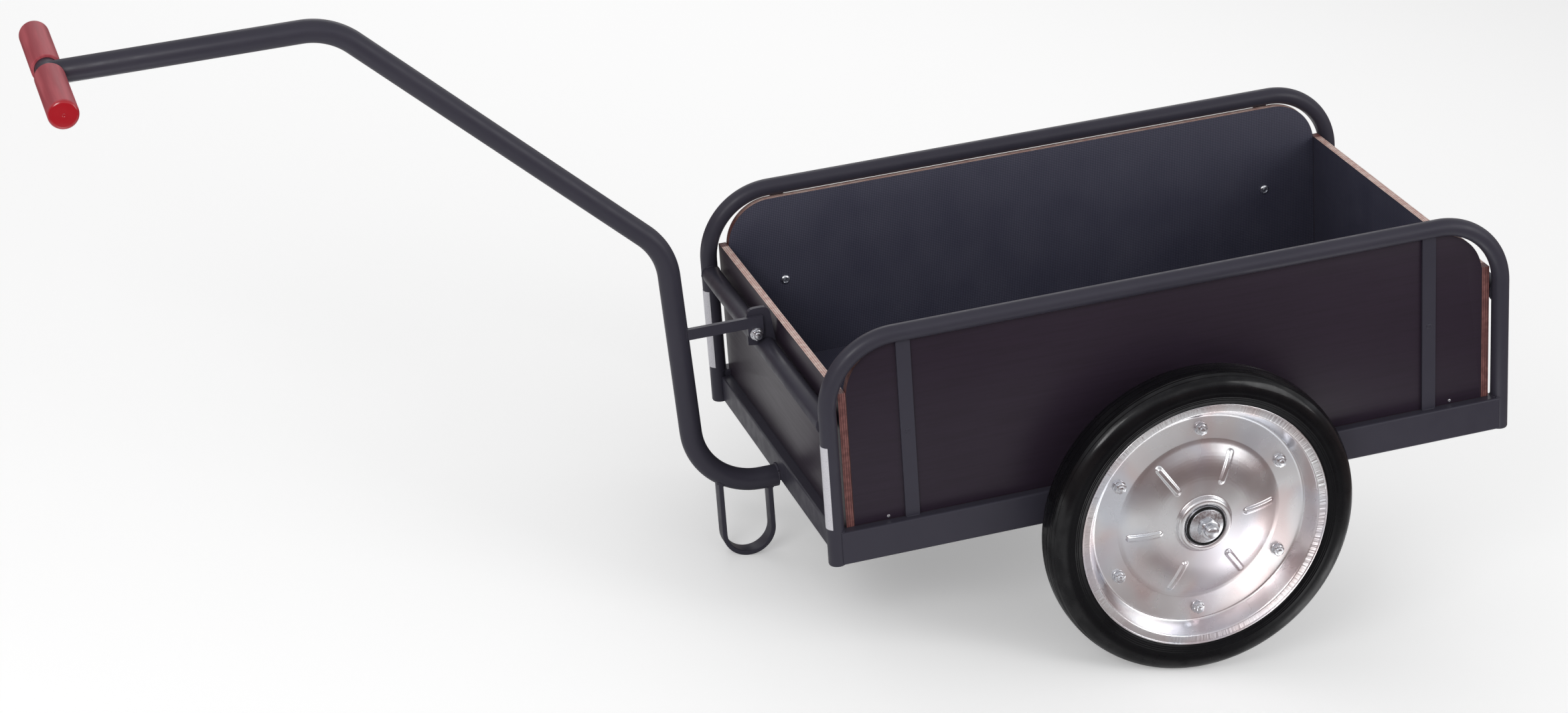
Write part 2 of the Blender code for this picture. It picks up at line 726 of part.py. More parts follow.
def rim_profile():
    """A drum through the tyre's bore, with a beaded lip at either edge."""
    return mirrored([(RIM_RADIUS, RIM_EDGE - SHEET), (LIP_RADIUS, RIM_EDGE - SHEET),
                     (LIP_RADIUS, RIM_EDGE + LIP_BEAD), (LIP_RADIUS - 2 * LIP_BEAD, RIM_EDGE + LIP_BEAD),
                     (LIP_RADIUS - 3 * LIP_BEAD, RIM_EDGE), (RIM_BORE, RIM_EDGE)])


def disc_line(rounding=1):
    """The face of a disc: a collar on the hub, a dome, a flat ring for the bolts and a wall."""
    collar_top = HUB_OUT - COLLAR_SETBACK
    wall_top = RIM_EDGE - WALL_DROP
    shoulder = BOLT_RING_INNER - DOME_SHOULDER_INSET
    return rounded_profile([
        (HUB_RADIUS + SEAT, collar_top - COLLAR_DEPTH, 0),
        (HUB_RADIUS + SEAT, collar_top, 0),
        (HUB_RADIUS + COLLAR_WIDTH, collar_top, 0),
        (GROOVE_RADIUS, DISC_FACE + DOME_RISE, 0),
        (shoulder, DISC_FACE + DOME_SHOULDER_RISE, DOME_CORNER * rounding),
        (BOLT_RING_INNER, DISC_FACE, 0),
        (BOLT_RING_OUTER, DISC_FACE, WALL_CORNER * rounding),
        (RIM_BORE - WALL_DROP, wall_top, 0),
        (RIM_BORE - SEAT, wall_top, 0)], steps=2)


def pattern_angles(side, turn):
    """The angles of a wheel's repeated features, about its own axis."""
    return [math.radians(-side * (turn + 360 * i / WHEEL_PATTERN)) for i in range(WHEEL_PATTERN)]


def ribs(name, side, line):
    """Rounded bars that follow a disc's dome like short spokes, to be joined to it."""
    inner = GROOVE_RADIUS + RIB_INNER_INSET
    outer = BOLT_RING_INNER - RIB_OUTER_INSET
    stations = [inner, inner + RIB_END, (inner + outer) / 2, outer - RIB_END, outer]
    points = [(r, 0, height(line, r) - RIB_SINK) for r in stations]
    bar = to_mesh(tube(name + "_bar", points, RIB_RADIUS, sides=2, swell=[0.5, 1, 1, 1, 0.5]))
    bm = bmesh.new()
    for angle in pattern_angles(side, RIB_TURN):
        done = len(bm.verts)
        bm.from_mesh(bar.data)
        bm.verts.ensure_lookup_table()
        added = bm.verts[done:]
        for vert in added:
            floor = height(line, math.hypot(vert.co.x, vert.co.y)) - SHEET / 2
            vert.co.z = max(vert.co.z, floor)
        bmesh.ops.rotate(bm, cent=(0, 0, 0), matrix=Matrix.Rotation(angle, 3, "Z"), verts=added)
    bpy.data.objects.remove(bar, do_unlink=True)
    return mesh_object(name, bm)


def bolt_holes(name, side):
    """Cutters through both discs, on the circle of bolts."""
    bm = bmesh.new()
    radius = hole(WHEEL_BOLT_D / 2, 6)
    for angle in pattern_angles(side, BOLT_TURN):
        spot = Matrix.Rotation(angle, 4, "Z") @ Vector((BOLT_CIRCLE, 0, 0))
        bmesh.ops.create_cone(bm, cap_ends=True, segments=6, radius1=radius, radius2=radius,
                              depth=CUTTER_REACH, matrix=Matrix.Translation(spot))
    return mesh_object(name, bm)


def wheel_bolt_profile():
    """A hexagon head on the outer disc, a shank through both and a nut behind."""
    corner = WHEEL_BOLT_FLATS / math.sqrt(3)
    shank = WHEEL_BOLT_D / 2
    face = DISC_FACE + SEAT
    top, end = face + WHEEL_BOLT_HEAD, face + WHEEL_BOLT_NUT
    return [(0, top), (corner, top), (corner, face), (shank, face), (shank, -face), (corner, -face),
            (corner, -end), (0, -end)]


def wheel(side, rubber, zinc, parts, cutters, carrier):
    """A tyre on a rim, two pressed discs bolted together at its middle, and a hub."""
    name = side_name(side)

    def seated(obj):
        on_axle(obj, side, WHEEL_MIDDLE_Y)
        return obj

    place(seated(turned("tyre_" + name, tyre_profile(), WHEEL_STEPS)), parts, carrier, rubber)
    place(seated(turned("rim_" + name, rim_profile(), WHEEL_STEPS)), parts, carrier, zinc)

    line, plain = disc_line(), disc_line(rounding=0)
    back = parallel(plain, SHEET)[::-1]
    behind = [(r, -o) for r, o in (plain + back)[::-1]]
    disc = seated(turned("disc_" + name, line + back, WHEEL_STEPS))
    inner = seated(turned("disc_inner_" + name, behind, WHEEL_STEPS))
    combine(disc, seated(ribs("ribs_" + name, side, line)), cutters, carrier, "UNION")
    for obj in (disc, inner):
        cut(obj, seated(bolt_holes(obj.name + "_holes", side)), cutters, carrier)
        place(obj, parts, carrier, zinc)
    for i, angle in enumerate(pattern_angles(1, BOLT_TURN)):
        bolt = seated(turned(f"wheel_bolt_{name}_{i + 1}", wheel_bolt_profile(), steps=6))
        bolt.location.x = BOLT_CIRCLE * math.cos(angle)
        bolt.location.z = -BOLT_CIRCLE * math.sin(angle)
        place(bolt, parts, carrier, zinc)

    bore = hole(AXLE_D / 2, HUB_STEPS)
    hub = [(bore, HUB_OUT), (HUB_RADIUS, HUB_OUT), (HUB_RADIUS, HUB_OUT - HUB_LENGTH),
           (bore, HUB_OUT - HUB_LENGTH)]
    place(seated(turned("hub_" + name, hub, HUB_STEPS)), parts, carrier, zinc)
    low, high = HUB_OUT + SEAT, HUB_OUT + SEAT + SEAL_RISE
    inside = hole(HUB_RADIUS - SEAL_WIDTH, HUB_STEPS)
    seal = [(inside, high), (HUB_RADIUS, high), (HUB_RADIUS, low), (inside, low)]
    place(seated(turned("seal_" + name, seal, HUB_STEPS)), parts, carrier, rubber)


def middle_x(parts):
    """The middle of the cart's length, from the finished pieces."""
    low, high = math.inf, -math.inf
    graph = bpy.context.evaluated_depsgraph_get()
    for obj in parts.objects:
        if obj.type == "EMPTY":
            continue
        finished = obj.evaluated_get(graph)
        for vertex in finished.to_mesh().vertices:
            x = (finished.matrix_world @ vertex.co).x
            low, high = min(low, x), max(high, x)
        finished.to_mesh_clear()
    return (low + high) / 2


def build():
    clear_scene()
    parts = collection("hand_cart")
    cutters = collection("cutters")
    steel = material("Anthracite powder coat", (0.046, 0.042, 0.058), 0.42, 0.2)
    wood = material("Film-faced plywood", (0.030, 0.020, 0.032), 0.45)
    rubber = material("Black rubber", (0.010, 0.010, 0.011), 0.45)
    zinc = material("Bright zinc", (0.60, 0.60, 0.62), 0.28, 1.0)
    grip_red = material("Red plastic grip", (0.38, 0.05, 0.06), 0.4)

    chassis = bpy.data.objects.new("chassis", None)
    chassis.location = (0, 0, WHEEL_RADIUS)
    chassis.rotation_euler = (0, parking_pitch(), 0)
    parts.objects.link(chassis)
    carriers = [chassis]

    for side in (1, -1):
        hoop(side, steel, parts, chassis)
        rail(side, steel, parts, cutters, chassis)
        for end, x in (("front", FRONT_X - STRAP_INSET), ("rear", REAR_X + STRAP_INSET)):
            strap(side, end, x, steel, parts, chassis)
        side_panel(side, wood, parts, chassis)
    cross_member("cross_member_front", FRONT_X, -1, steel, parts, cutters, chassis)
    cross_member("cross_member_rear", REAR_X, 1, steel, parts, cutters, chassis)
    crossbar("crossbar_front", FRONT_X, steel, parts, cutters, chassis)
    crossbar("crossbar_rear", REAR_X, steel, parts, cutters, chassis)
    rear, front = box_ends()
    end_panel("front_panel", front, 1, wood, parts, chassis)
    end_panel("rear_panel", rear, -1, wood, parts, chassis)
    floor_panel(wood, parts, chassis)
    floor_bearer("floor_bearer_front", BEARER_OFFSET, steel, parts, chassis)
    floor_bearer("floor_bearer_rear", -BEARER_OFFSET, steel, parts, chassis)
    drawbar(steel, parts, cutters, chassis)
    t_handle(steel, grip_red, parts, chassis)
    foot(steel, parts, cutters, chassis)
    brace(steel, zinc, parts, cutters, chassis)
    axle(steel, parts, chassis)
    for side in (1, -1):
        spindle(side, zinc, parts, chassis)
        washer(side, zinc, parts, chassis)
        nut(side, zinc, parts, chassis)
        carrier = bpy.data.objects.new("wheel_carrier_" + side_name(side), None)
        carrier.location = (0, 0, WHEEL_RADIUS)
        parts.objects.link(carrier)
        carriers.append(carrier)
        wheel(side, rubber, zinc, parts, cutters, carrier)
    bpy.context.view_layer.update()
    middle = middle_x(parts)
    for carrier in carriers:
        carrier.location.x -= middle


build()
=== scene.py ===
import json
import math

import bmesh
import bpy
from mathutils import Matrix, Vector

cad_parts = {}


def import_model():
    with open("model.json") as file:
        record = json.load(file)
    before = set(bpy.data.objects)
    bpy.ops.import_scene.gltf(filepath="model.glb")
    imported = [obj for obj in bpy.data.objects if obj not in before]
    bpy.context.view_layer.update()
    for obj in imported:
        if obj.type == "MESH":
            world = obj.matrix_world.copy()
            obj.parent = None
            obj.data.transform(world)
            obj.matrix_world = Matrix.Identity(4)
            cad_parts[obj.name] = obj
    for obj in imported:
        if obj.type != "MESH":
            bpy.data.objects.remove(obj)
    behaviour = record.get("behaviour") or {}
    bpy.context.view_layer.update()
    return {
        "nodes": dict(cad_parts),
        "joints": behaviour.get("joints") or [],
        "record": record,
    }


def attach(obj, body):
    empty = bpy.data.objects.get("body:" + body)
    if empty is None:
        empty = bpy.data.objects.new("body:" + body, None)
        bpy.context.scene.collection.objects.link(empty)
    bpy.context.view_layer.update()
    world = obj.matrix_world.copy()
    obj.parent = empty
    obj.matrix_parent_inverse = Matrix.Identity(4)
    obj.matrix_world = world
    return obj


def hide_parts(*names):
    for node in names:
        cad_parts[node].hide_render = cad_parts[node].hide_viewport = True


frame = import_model()

# The level chassis is tipped forward about the axle; this puts its coordinates in the part's frame.
FLOOR_UP = Vector(frame["record"]["mounts"][0]["axis"])
AXLE = Vector(frame["joints"][0]["pos_m"])
PITCH = math.atan2(FLOOR_UP.x, FLOOR_UP.z)
CHASSIS = Matrix.Translation((AXLE.x, 0, AXLE.z)) @ Matrix.Rotation(PITCH, 4, "Y")

# Camera, fitted to the photograph.
CAMERA_AT = Vector((1.4557, 3.9492, 1.8546))
CAMERA_RIGHT = Vector((-0.9430, 0.2954, 0.1533))
CAMERA_UP = Vector((0.0320, -0.3790, 0.9247))
LENS = 83.0
SENSOR_WIDTH = 36.0
SHIFT = (-0.00197, -0.00857)

# Frame, in the level chassis.
SEAT = 0.0003
HOOP_R = 0.011
HOOP_Y = 0.2525
HOOP_HEIGHT = 0.286
FRONT_X = 0.444
REAR_X = -0.434
BEND_RADIUS = 0.0865
RAIL_BOTTOM = 0.0093
RAIL_TOP = RAIL_BOTTOM + 0.043
LEG_BOTTOM = RAIL_BOTTOM - 0.0015
HOOP_TOP = RAIL_BOTTOM + HOOP_HEIGHT
CROSSBAR_R = 0.0125
CROSSBAR_Z = RAIL_BOTTOM + 0.182
CROSSBAR_HALF = HOOP_Y - 0.005
STRAP_FACE_Y = 0.2546
STRAP_HALF = 0.008
STRAP_SCREW_Z = 0.1663
FOOT_SCREW_AWAY = 0.030
SIDES = ((1, "left"), (-1, "right"))
ENDS = ((FRONT_X, -1, "front"), (REAR_X, 1, "rear"))
STRAPS = ((FRONT_X - 0.098, 1, "front"), (REAR_X + 0.098, -1, "rear"))
TAPE_BOTTOM = 0.0583
TAPE_TOP = 0.1673
TAPE_REACH = math.radians(61)

# Drawbar, T-handle, foot and brace.
DRAWBAR_R = 0.014
DRAWBAR_Z = RAIL_BOTTOM + 0.002
HANDLE_Z = RAIL_BOTTOM + 0.686
HANDLE_X = FRONT_X + 0.813
DRAWBAR_CORNERS = [
    (FRONT_X - 0.0012, DRAWBAR_Z),
    (FRONT_X + 0.102, DRAWBAR_Z, BEND_RADIUS),
    (FRONT_X + 0.117, RAIL_BOTTOM + 0.334, BEND_RADIUS),
    (FRONT_X + 0.489, HANDLE_Z, BEND_RADIUS),
    (HANDLE_X, HANDLE_Z)]
DRAWBAR_STEPS = 24
T_TUBE_R = 0.014
T_TUBE_HALF = 0.1417
GRIP_R = 0.01775
GRIP_START = 0.015
GRIP_FLOOR = 0.142
GRIP_END = 0.147
FOOT_LEGS_X = (FRONT_X + 0.075, FRONT_X + 0.011)
FOOT_ARC_Z = RAIL_BOTTOM - 0.063
FOOT_HALF_DEPTH = 0.003
FOOT_HALF_WIDTH = 0.010
BRACE_BOLT_X = FRONT_X + 0.0135
BRACE_BOLT_Z = CROSSBAR_Z + 0.023
BRACE_NEAR_Y = 0.0096
BRACE_FAR_Y = -0.0033
STRUT_RISER_X = FRONT_X + 0.1125
STRUT_Z = RAIL_BOTTOM + 0.220

# Plywood box.
PLY = 0.010
PLIES = 7
BOX_REAR = -0.40952
BOX_FRONT = 0.41952
PANEL_OUTER_Y = 0.2513
SIDE_BOTTOM = RAIL_TOP + SEAT
SIDE_TOP = HOOP_TOP - HOOP_R - 0.0008
SIDE_CORNER = 0.060
END_TOP = RAIL_BOTTOM + 0.2205
FLOOR_Z = RAIL_BOTTOM + 0.035 + SEAT
BETWEEN_RAILS = 0.2432
MESH_PITCH = 0.0024

# Wheels, as radii and as offsets outward from a wheel's middle.
WHEEL_R = 0.200
TYRE_HALF = 0.028
SHEET = 0.0022
DISC_FACE = 0.00235
BOLT_CIRCLE = 0.1213
BOLT_ANGLES = [math.radians(19 + 60 * i) for i in range(6)]
RIB_ANGLES = [math.radians(43 + 60 * i) for i in range(6)]
HUB_R = 0.0255
HUB_OUT = 0.024
HUB_IN = HUB_OUT - 0.060
AXLE_R = 0.008
BOLT_FLATS = 0.013
NUT_FLATS = 0.024

# How close a turned solid ends to its axis.
NEAR_AXIS = 0.0001

# Softened edges: their sizes, and the shares of a size by which they go in and down.
BOARD_EDGE = 0.0004
DRAWBAR_EDGE = 0.0004
BAR_EDGE = 0.0006
HOOP_EDGE = 0.002
EDGE_STEPS = ((0.0, 1.0), (0.3, 0.3), (1.0, 0.0))

# Floor and light.
FLOOR_RADIUS = 30.0
AMBIENT = 0.55
CAMERA_GLOW = 0.30
PATCH_GLOW = 2.4


def chassis(x, y, z):
    """A point of the level chassis, in the part's frame."""
    return CHASSIS @ Vector((x, y, z))


def full_turn(count):
    return [2 * math.pi * i / count for i in range(count)]


class Tree:
    """The nodes of a material or world, built step by step."""

    def __init__(self, owner):
        owner.use_nodes = True
        self.nodes = owner.node_tree.nodes
        self.links = owner.node_tree.links

    def join(self, value, socket):
        if isinstance(value, bpy.types.NodeSocket):
            self.links.new(value, socket)
        else:
            socket.default_value = value

    def node(self, kind, out=0, **inputs):
        """A node of a kind; keys are its sockets' names, or attributes if it has no such socket."""
        made = self.nodes.new("ShaderNode" + kind)
        for key, value in inputs.items():
            name = key.replace("_", " ")
            if name in made.inputs:
                self.join(value, made.inputs[name])
            else:
                setattr(made, key, value)
        return made.outputs[out]

    def math(self, operation, a, b=0.5):
        made = self.nodes.new("ShaderNodeMath")
        made.operation = operation
        self.join(a, made.inputs[0])
        self.join(b, made.inputs[1])
        return made.outputs[0]

    def axes(self, where):
        """The three coordinates of a place."""
        made = self.nodes.new("ShaderNodeSeparateXYZ")
        self.join(where, made.inputs[0])
        return made.outputs[0], made.outputs[1], made.outputs[2]

    def span(self, value, low, high, to_low=0.0, to_high=1.0):
        """The value's range from low to high, spread smoothly over another range."""
        return self.node("MapRange", interpolation_type="SMOOTHSTEP", Value=value,
                         From_Min=low, From_Max=high, To_Min=to_low, To_Max=to_high)

    def mix(self, share, a, b):
        made = self.nodes.new("ShaderNodeMix")
        made.data_type = "RGBA"
        self.join(share, made.inputs["Factor"])
        self.join((*a, 1.0) if isinstance(a, tuple) else a, made.inputs[6])
        self.join((*b, 1.0) if isinstance(b, tuple) else b, made.inputs[7])
        return made.outputs[2]


class Shader(Tree):
    """A material on the Principled shader."""

    def __init__(self, name, colour, roughness, metallic=0.0):
        self.mat = bpy.data.materials.new(name)
        super().__init__(self.mat)
        self.main = self.nodes["Principled BSDF"].inputs
        self.set("Base Color", (*colour, 1.0))
        self.set("Roughness", roughness)
        self.set("Metallic", metallic)
        self.place = self.node("TexCoord", "Object")

    def set(self, socket, value):
        self.main[socket].default_value = value

    def paint(self, socket, value):
        self.join(value, self.main[socket])

    def bump(self, height, strength, distance):
        before = self.main["Normal"]
        made = self.nodes.new("ShaderNodeBump")
        made.inputs["Strength"].default_value = strength
        made.inputs["Distance"].default_value = distance
        self.join(height, made.inputs["Height"])
        if before.links:
            self.join(before.links[0].from_socket, made.inputs["Normal"])
        self.links.new(made.outputs[0], before)

    def level(self):
        """The place in the level chassis."""
        back = CHASSIS.inverted()
        return self.node("Mapping", Vector=self.place, Location=back.translation,
                         Rotation=(0.0, -PITCH, 0.0))

    def from_axis(self):
        """The distance from the object's own y axis."""
        x, _, z = self.axes(self.place)
        return self.math("SQRT", self.math("ADD", self.math("MULTIPLY", x, x), self.math("MULTIPLY", z, z)))

    def noise(self, scale, detail=2.0, stretch=None, where=None, distortion=0.0):
        where = self.place if where is None else where
        if stretch:
            where = self.node("Mapping", Vector=where, Scale=stretch)
        return self.node("TexNoise", Vector=where, Scale=scale, Detail=detail, Distortion=distortion)


def powder_coat():
    s = Shader("Anthracite powder coat", (0.040, 0.037, 0.052), 0.4)
    s.set("Specular IOR Level", 0.24)
    s.paint("Base Color", s.mix(s.noise(9.0), (0.036, 0.034, 0.048), (0.046, 0.043, 0.059)))
    s.paint("Roughness", s.span(s.noise(60.0), 0.3, 0.7, 0.33, 0.43))
    s.bump(s.noise(900.0, 1.0), 0.10, 0.0004)
    return s.mat


def film_outside(name, gloss):
    """Smooth phenolic film, with the grain of the veneer faintly under it."""
    s = Shader(name, (0.026, 0.017, 0.029), 0.38)
    s.set("Specular IOR Level", gloss)
    where = s.level()
    grain = s.noise(240.0, 4.0, stretch=(0.05, 0.05, 1.0), where=where)
    cloud = s.noise(5.0, 3.0, where=where)
    colour = s.mix(cloud, (0.022, 0.014, 0.025), (0.031, 0.021, 0.034))
    s.paint("Base Color", s.mix(s.span(grain, 0.35, 0.75, 0.0, 0.4), colour, (0.017, 0.012, 0.018)))
    s.paint("Roughness", s.span(grain, 0.35, 0.65, 0.35, 0.38))
    s.bump(grain, 0.02, 0.0004)
    return s.mat


def film_mesh(name, across, up):
    """Anti-slip film with the print of a wire mesh, on a face that spans two chassis axes."""
    s = Shader(name, (0.034, 0.034, 0.052), 0.55)
    s.set("Specular IOR Level", 0.30)
    where = s.level()
    axes = s.axes(where)
    wires = []
    for axis in (across, up):
        wave = s.math("SINE", s.math("MULTIPLY", axes[axis], math.pi / MESH_PITCH))
        wires.append(s.math("ABSOLUTE", wave))
    weave = s.math("MULTIPLY", wires[0], wires[1])
    wear = s.noise(22.0, 4.0, where=where)
    dark = s.mix(wear, (0.026, 0.026, 0.047), (0.038, 0.038, 0.062))
    pale = s.mix(wear, (0.070, 0.070, 0.106), (0.105, 0.104, 0.142))
    s.paint("Base Color", s.mix(weave, dark, pale))
    s.paint("Roughness", s.span(wear, 0.3, 0.7, 0.48, 0.62))
    s.bump(weave, 0.5, 0.0004)
    return s.mat


def ply_edge(name, thickness_axis, start):
    """Plies seen at a board's edge, pale on top and stained red-brown on upright ends."""
    s = Shader(name, (0.55, 0.40, 0.36), 0.6)
    where = s.level()
    axes = s.axes(where)
    depth = axes[thickness_axis]
    if thickness_axis == 1:
        depth = s.math("ABSOLUTE", depth)
    share = s.math("DIVIDE", s.math("SUBTRACT", depth, start), PLY)
    wobble = s.noise(30.0, 2.0, where=where)
    share = s.math("ADD", share, s.math("MULTIPLY", s.math("SUBTRACT", wobble, 0.5), 0.05))
    ply = s.math("FRACT", s.math("MULTIPLY", share, PLIES / 2))
    band = s.math("LESS_THAN", ply, 0.5)
    glue = s.math("LESS_THAN", s.math("PINGPONG", s.math("ADD", ply, 0.25), 0.25), 0.03)
    fleck = s.noise(500.0, 3.0, stretch=(0.25, 0.25, 0.25), where=where)
    fleck = s.span(fleck, 0.35, 0.7)
    pale = s.mix(band, s.mix(fleck, (0.42, 0.22, 0.19), (0.60, 0.40, 0.35)),
                 s.mix(fleck, (0.66, 0.46, 0.41), (0.80, 0.66, 0.60)))
    pale = s.mix(s.math("MULTIPLY", glue, 0.6), pale, (0.20, 0.09, 0.08))
    stained = s.mix(band, s.mix(fleck, (0.078, 0.021, 0.020), (0.135, 0.042, 0.039)),
                    s.mix(fleck, (0.150, 0.050, 0.046), (0.25, 0.100, 0.088)))
    stained = s.mix(s.math("MULTIPLY", glue, 0.7), stained, (0.018, 0.006, 0.006))
    up = s.axes(s.node("TexCoord", "Normal"))[2]
    if thickness_axis == 0:
        reach = s.math("ABSOLUTE", axes[1])
        inner = s.span(reach, PANEL_OUTER_Y - 0.016, PANEL_OUTER_Y - 0.012, 1.0, 0.0)
        top = s.math("MULTIPLY", s.span(up, 0.80, 0.93), inner)
    else:
        top = s.span(up, 0.35, 0.93)
    colour = s.mix(top, stained, pale)
    film = s.math("GREATER_THAN", s.math("ABSOLUTE", s.math("SUBTRACT", share, 0.5)), 0.465)
    s.paint("Base Color", s.mix(film, colour, (0.05, 0.022, 0.022)))
    s.bump(fleck, 0.25, 0.0003)
    return s.mat


def rubber(name, low, high, roughness, gloss_from):
    """Black rubber, glossier beyond a radius than by the wheel's middle."""
    s = Shader(name, (0.006, 0.006, 0.007), roughness)
    s.set("Specular IOR Level", 0.12)
    s.set("Coat Roughness", 0.12)
    worn = s.span(s.noise(30.0, 3.0, stretch=(1.0, 3.0, 1.0)), 0.35, 0.65, 0.20, 0.55)
    outside = s.span(s.from_axis(), gloss_from, gloss_from + 0.006)
    s.paint("Coat Weight", s.math("MULTIPLY", outside, worn))
    s.paint("Base Color", s.mix(s.noise(18.0, 3.0), low, high))
    s.paint("Roughness", s.span(s.noise(35.0, 4.0), 0.3, 0.7, roughness - 0.05, roughness + 0.08))
    s.bump(s.noise(700.0, 2.0), 0.05, 0.0003)
    return s.mat


def zinc_plate():
    """Bright zinc on pressed sheet, with the faint rainbow of the bath and ripples on the lip."""
    s = Shader("Bright zinc sheet", (0.78, 0.77, 0.78), 0.24, 1.0)
    warm = s.span(s.noise(9.0, 2.0, distortion=0.6), 0.42, 0.68)
    cool = s.span(s.noise(14.0, 1.0, distortion=0.4), 0.45, 0.7)
    colour = s.mix(warm, (0.82, 0.82, 0.83), (0.74, 0.62, 0.61))
    s.paint("Base Color", s.mix(s.math("MULTIPLY", cool, 0.5), colour, (0.66, 0.71, 0.80)))
    s.paint("Roughness", s.span(s.noise(25.0, 3.0), 0.3, 0.7, 0.23, 0.30))
    x, _, z = s.axes(s.place)
    reach = s.from_axis()
    lip = s.math("MULTIPLY", s.span(reach, 0.1490, 0.1515), s.span(reach, 0.1585, 0.1600, 1.0, 0.0))
    turn = s.math("ARCTAN2", z, x)
    along = s.node("CombineXYZ", X=s.math("MULTIPLY", turn, 42.0), Y=s.math("MULTIPLY", reach, 20.0))
    s.bump(s.math("MULTIPLY", s.noise(1.0, 3.0, where=along), lip), 0.4, 0.0014)
    s.bump(s.noise(20.0, 0.0), 0.025, 0.002)
    return s.mat


def zinc_parts():
    """Zinc on bolts, nuts and washers."""
    s = Shader("Zinc fasteners", (0.72, 0.73, 0.76), 0.25, 1.0)
    s.paint("Base Color", s.mix(s.noise(120.0, 3.0), (0.60, 0.61, 0.64), (0.82, 0.83, 0.86)))
    s.paint("Roughness", s.span(s.noise(300.0, 3.0), 0.3, 0.7, 0.18, 0.36))
    s.bump(s.noise(500.0, 2.0), 0.12, 0.0003)
    return s.mat


def grip_plastic():
    """Red vinyl: paler along the sides, with dusty streaks and a painted sheen there; clean and glossy at
    the ends.
    """
    s = Shader("Red grip", (0.38, 0.09, 0.10), 0.4)
    s.set("Specular IOR Level", 0.35)
    s.set("Coat Roughness", 0.07)
    reach = s.math("ABSOLUTE", s.axes(s.place)[1])
    end = s.span(reach, GRIP_END - 0.0045, GRIP_END - 0.0012)
    streak = s.noise(110.0, 3.0, stretch=(1.0, 0.06, 1.0))
    # The sides are painted paler and greyer than the ends: dusty streaks, and a painted sheen that stands
    # in for light grazing the sides.
    dust_and_sheen = s.mix(s.span(streak, 0.35, 0.7), (0.36, 0.050, 0.066), (0.52, 0.105, 0.125))
    s.paint("Base Color", s.mix(end, dust_and_sheen, (0.40, 0.004, 0.012)))
    s.paint("Coat Weight", s.math("MULTIPLY", end, 0.7))
    dull = s.span(streak, 0.3, 0.7, 0.46, 0.56)
    s.paint("Roughness", s.math("SUBTRACT", dull, s.math("MULTIPLY", end, 0.3)))
    s.bump(streak, 0.05, 0.0006)
    return s.mat


def tape():
    s = Shader("Pale reflective tape", (0.66, 0.65, 0.69), 0.42)
    cells = s.node("TexVoronoi", Vector=s.place, Scale=420.0, feature="DISTANCE_TO_EDGE")
    s.paint("Base Color", s.mix(s.span(cells, 0.0, 0.12), (0.58, 0.57, 0.62), (0.68, 0.67, 0.71)))
    s.bump(cells, 0.1, 0.0002)
    return s.mat


STEEL = powder_coat()
FILM = film_outside("Smooth brown film", 0.25)
FILM_END = film_outside("Smooth brown film of the ends", 0.55)
MESH_SIDE = film_mesh("Mesh film on the sides", 0, 2)
MESH_END = film_mesh("Mesh film on the ends", 1, 2)
MESH_FLOOR = film_mesh("Mesh film on the floor", 0, 1)
EDGE_SIDE = ply_edge("Ply edges of the sides", 1, PANEL_OUTER_Y - PLY)
EDGE_FRONT = ply_edge("Ply edges of the front", 0, BOX_FRONT)
EDGE_REAR = ply_edge("Ply edges of the rear", 0, BOX_REAR - PLY)
EDGE_FLOOR = ply_edge("Ply edges of the floor", 2, FLOOR_Z)
TREAD = rubber("Black rubber", (0.0030, 0.0030, 0.0038), (0.0060, 0.0058, 0.0070), 0.27, 0.179)
SEAL = rubber("Seal rubber", (0.0030, 0.0030, 0.0035), (0.0055, 0.0055, 0.0060), 0.28, 0.020)
ZINC = zinc_plate()
FASTENER = zinc_parts()
GRIP = grip_plastic()
TAPE = tape()
PAINTED = ([STEEL], "powder_coat")
PLATED = ([FASTENER], "zinc")
BY_SLOT = {"powder_coat": STEEL, "plywood": FILM, "rubber": TREAD, "zinc": FASTENER, "grip": GRIP}
for subpart in frame["record"]["subparts"]:
    node = frame["nodes"][subpart["node"]]
    node.data.materials.clear()
    node.data.materials.append(BY_SLOT[subpart["material_slot"]])


def piece(name, verts, faces, mats, slot, body="cart", replaces=(), which=None, origin=(0, 0, 0), sharp=35):
    """A finished object from points in the part's frame, on its body; its slot argument is not used."""
    origin = Vector(origin)
    mesh = bpy.data.meshes.new(name)
    mesh.from_pydata([tuple(Vector(v) - origin) for v in verts], [], faces)
    for mat in mats:
        mesh.materials.append(mat)
    if which:
        mesh.polygons.foreach_set("material_index", which)
    bm = bmesh.new()
    bm.from_mesh(mesh)
    bmesh.ops.recalc_face_normals(bm, faces=bm.faces)
    bm.to_mesh(mesh)
    bm.free()
    mesh.shade_smooth()
    mesh.set_sharp_from_angle(angle=math.radians(sharp))
    obj = bpy.data.objects.new(name, mesh)
    obj.location = origin
    bpy.context.scene.collection.objects.link(obj)
    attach(obj, body)
    if replaces:
        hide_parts(*replaces)


def grid(rings, looped=False):
    """Points and faces of a skin over rings of equal length, closed on itself or with end caps."""
    n = len(rings[0])
    verts = [p for ring in rings for p in ring]
    pairs = [(k, k + 1) for k in range(len(rings) - 1)]
    if looped:
        pairs.append((len(rings) - 1, 0))
    faces = []
    for a, b in pairs:
        for i in range(n):
            j = (i + 1) % n
            faces.append((a * n + i, a * n + j, b * n + j, b * n + i))
    if not looped:
        faces.append(tuple(range(n))[::-1])
        faces.append(tuple((len(rings) - 1) * n + i for i in range(n)))
    return verts, faces


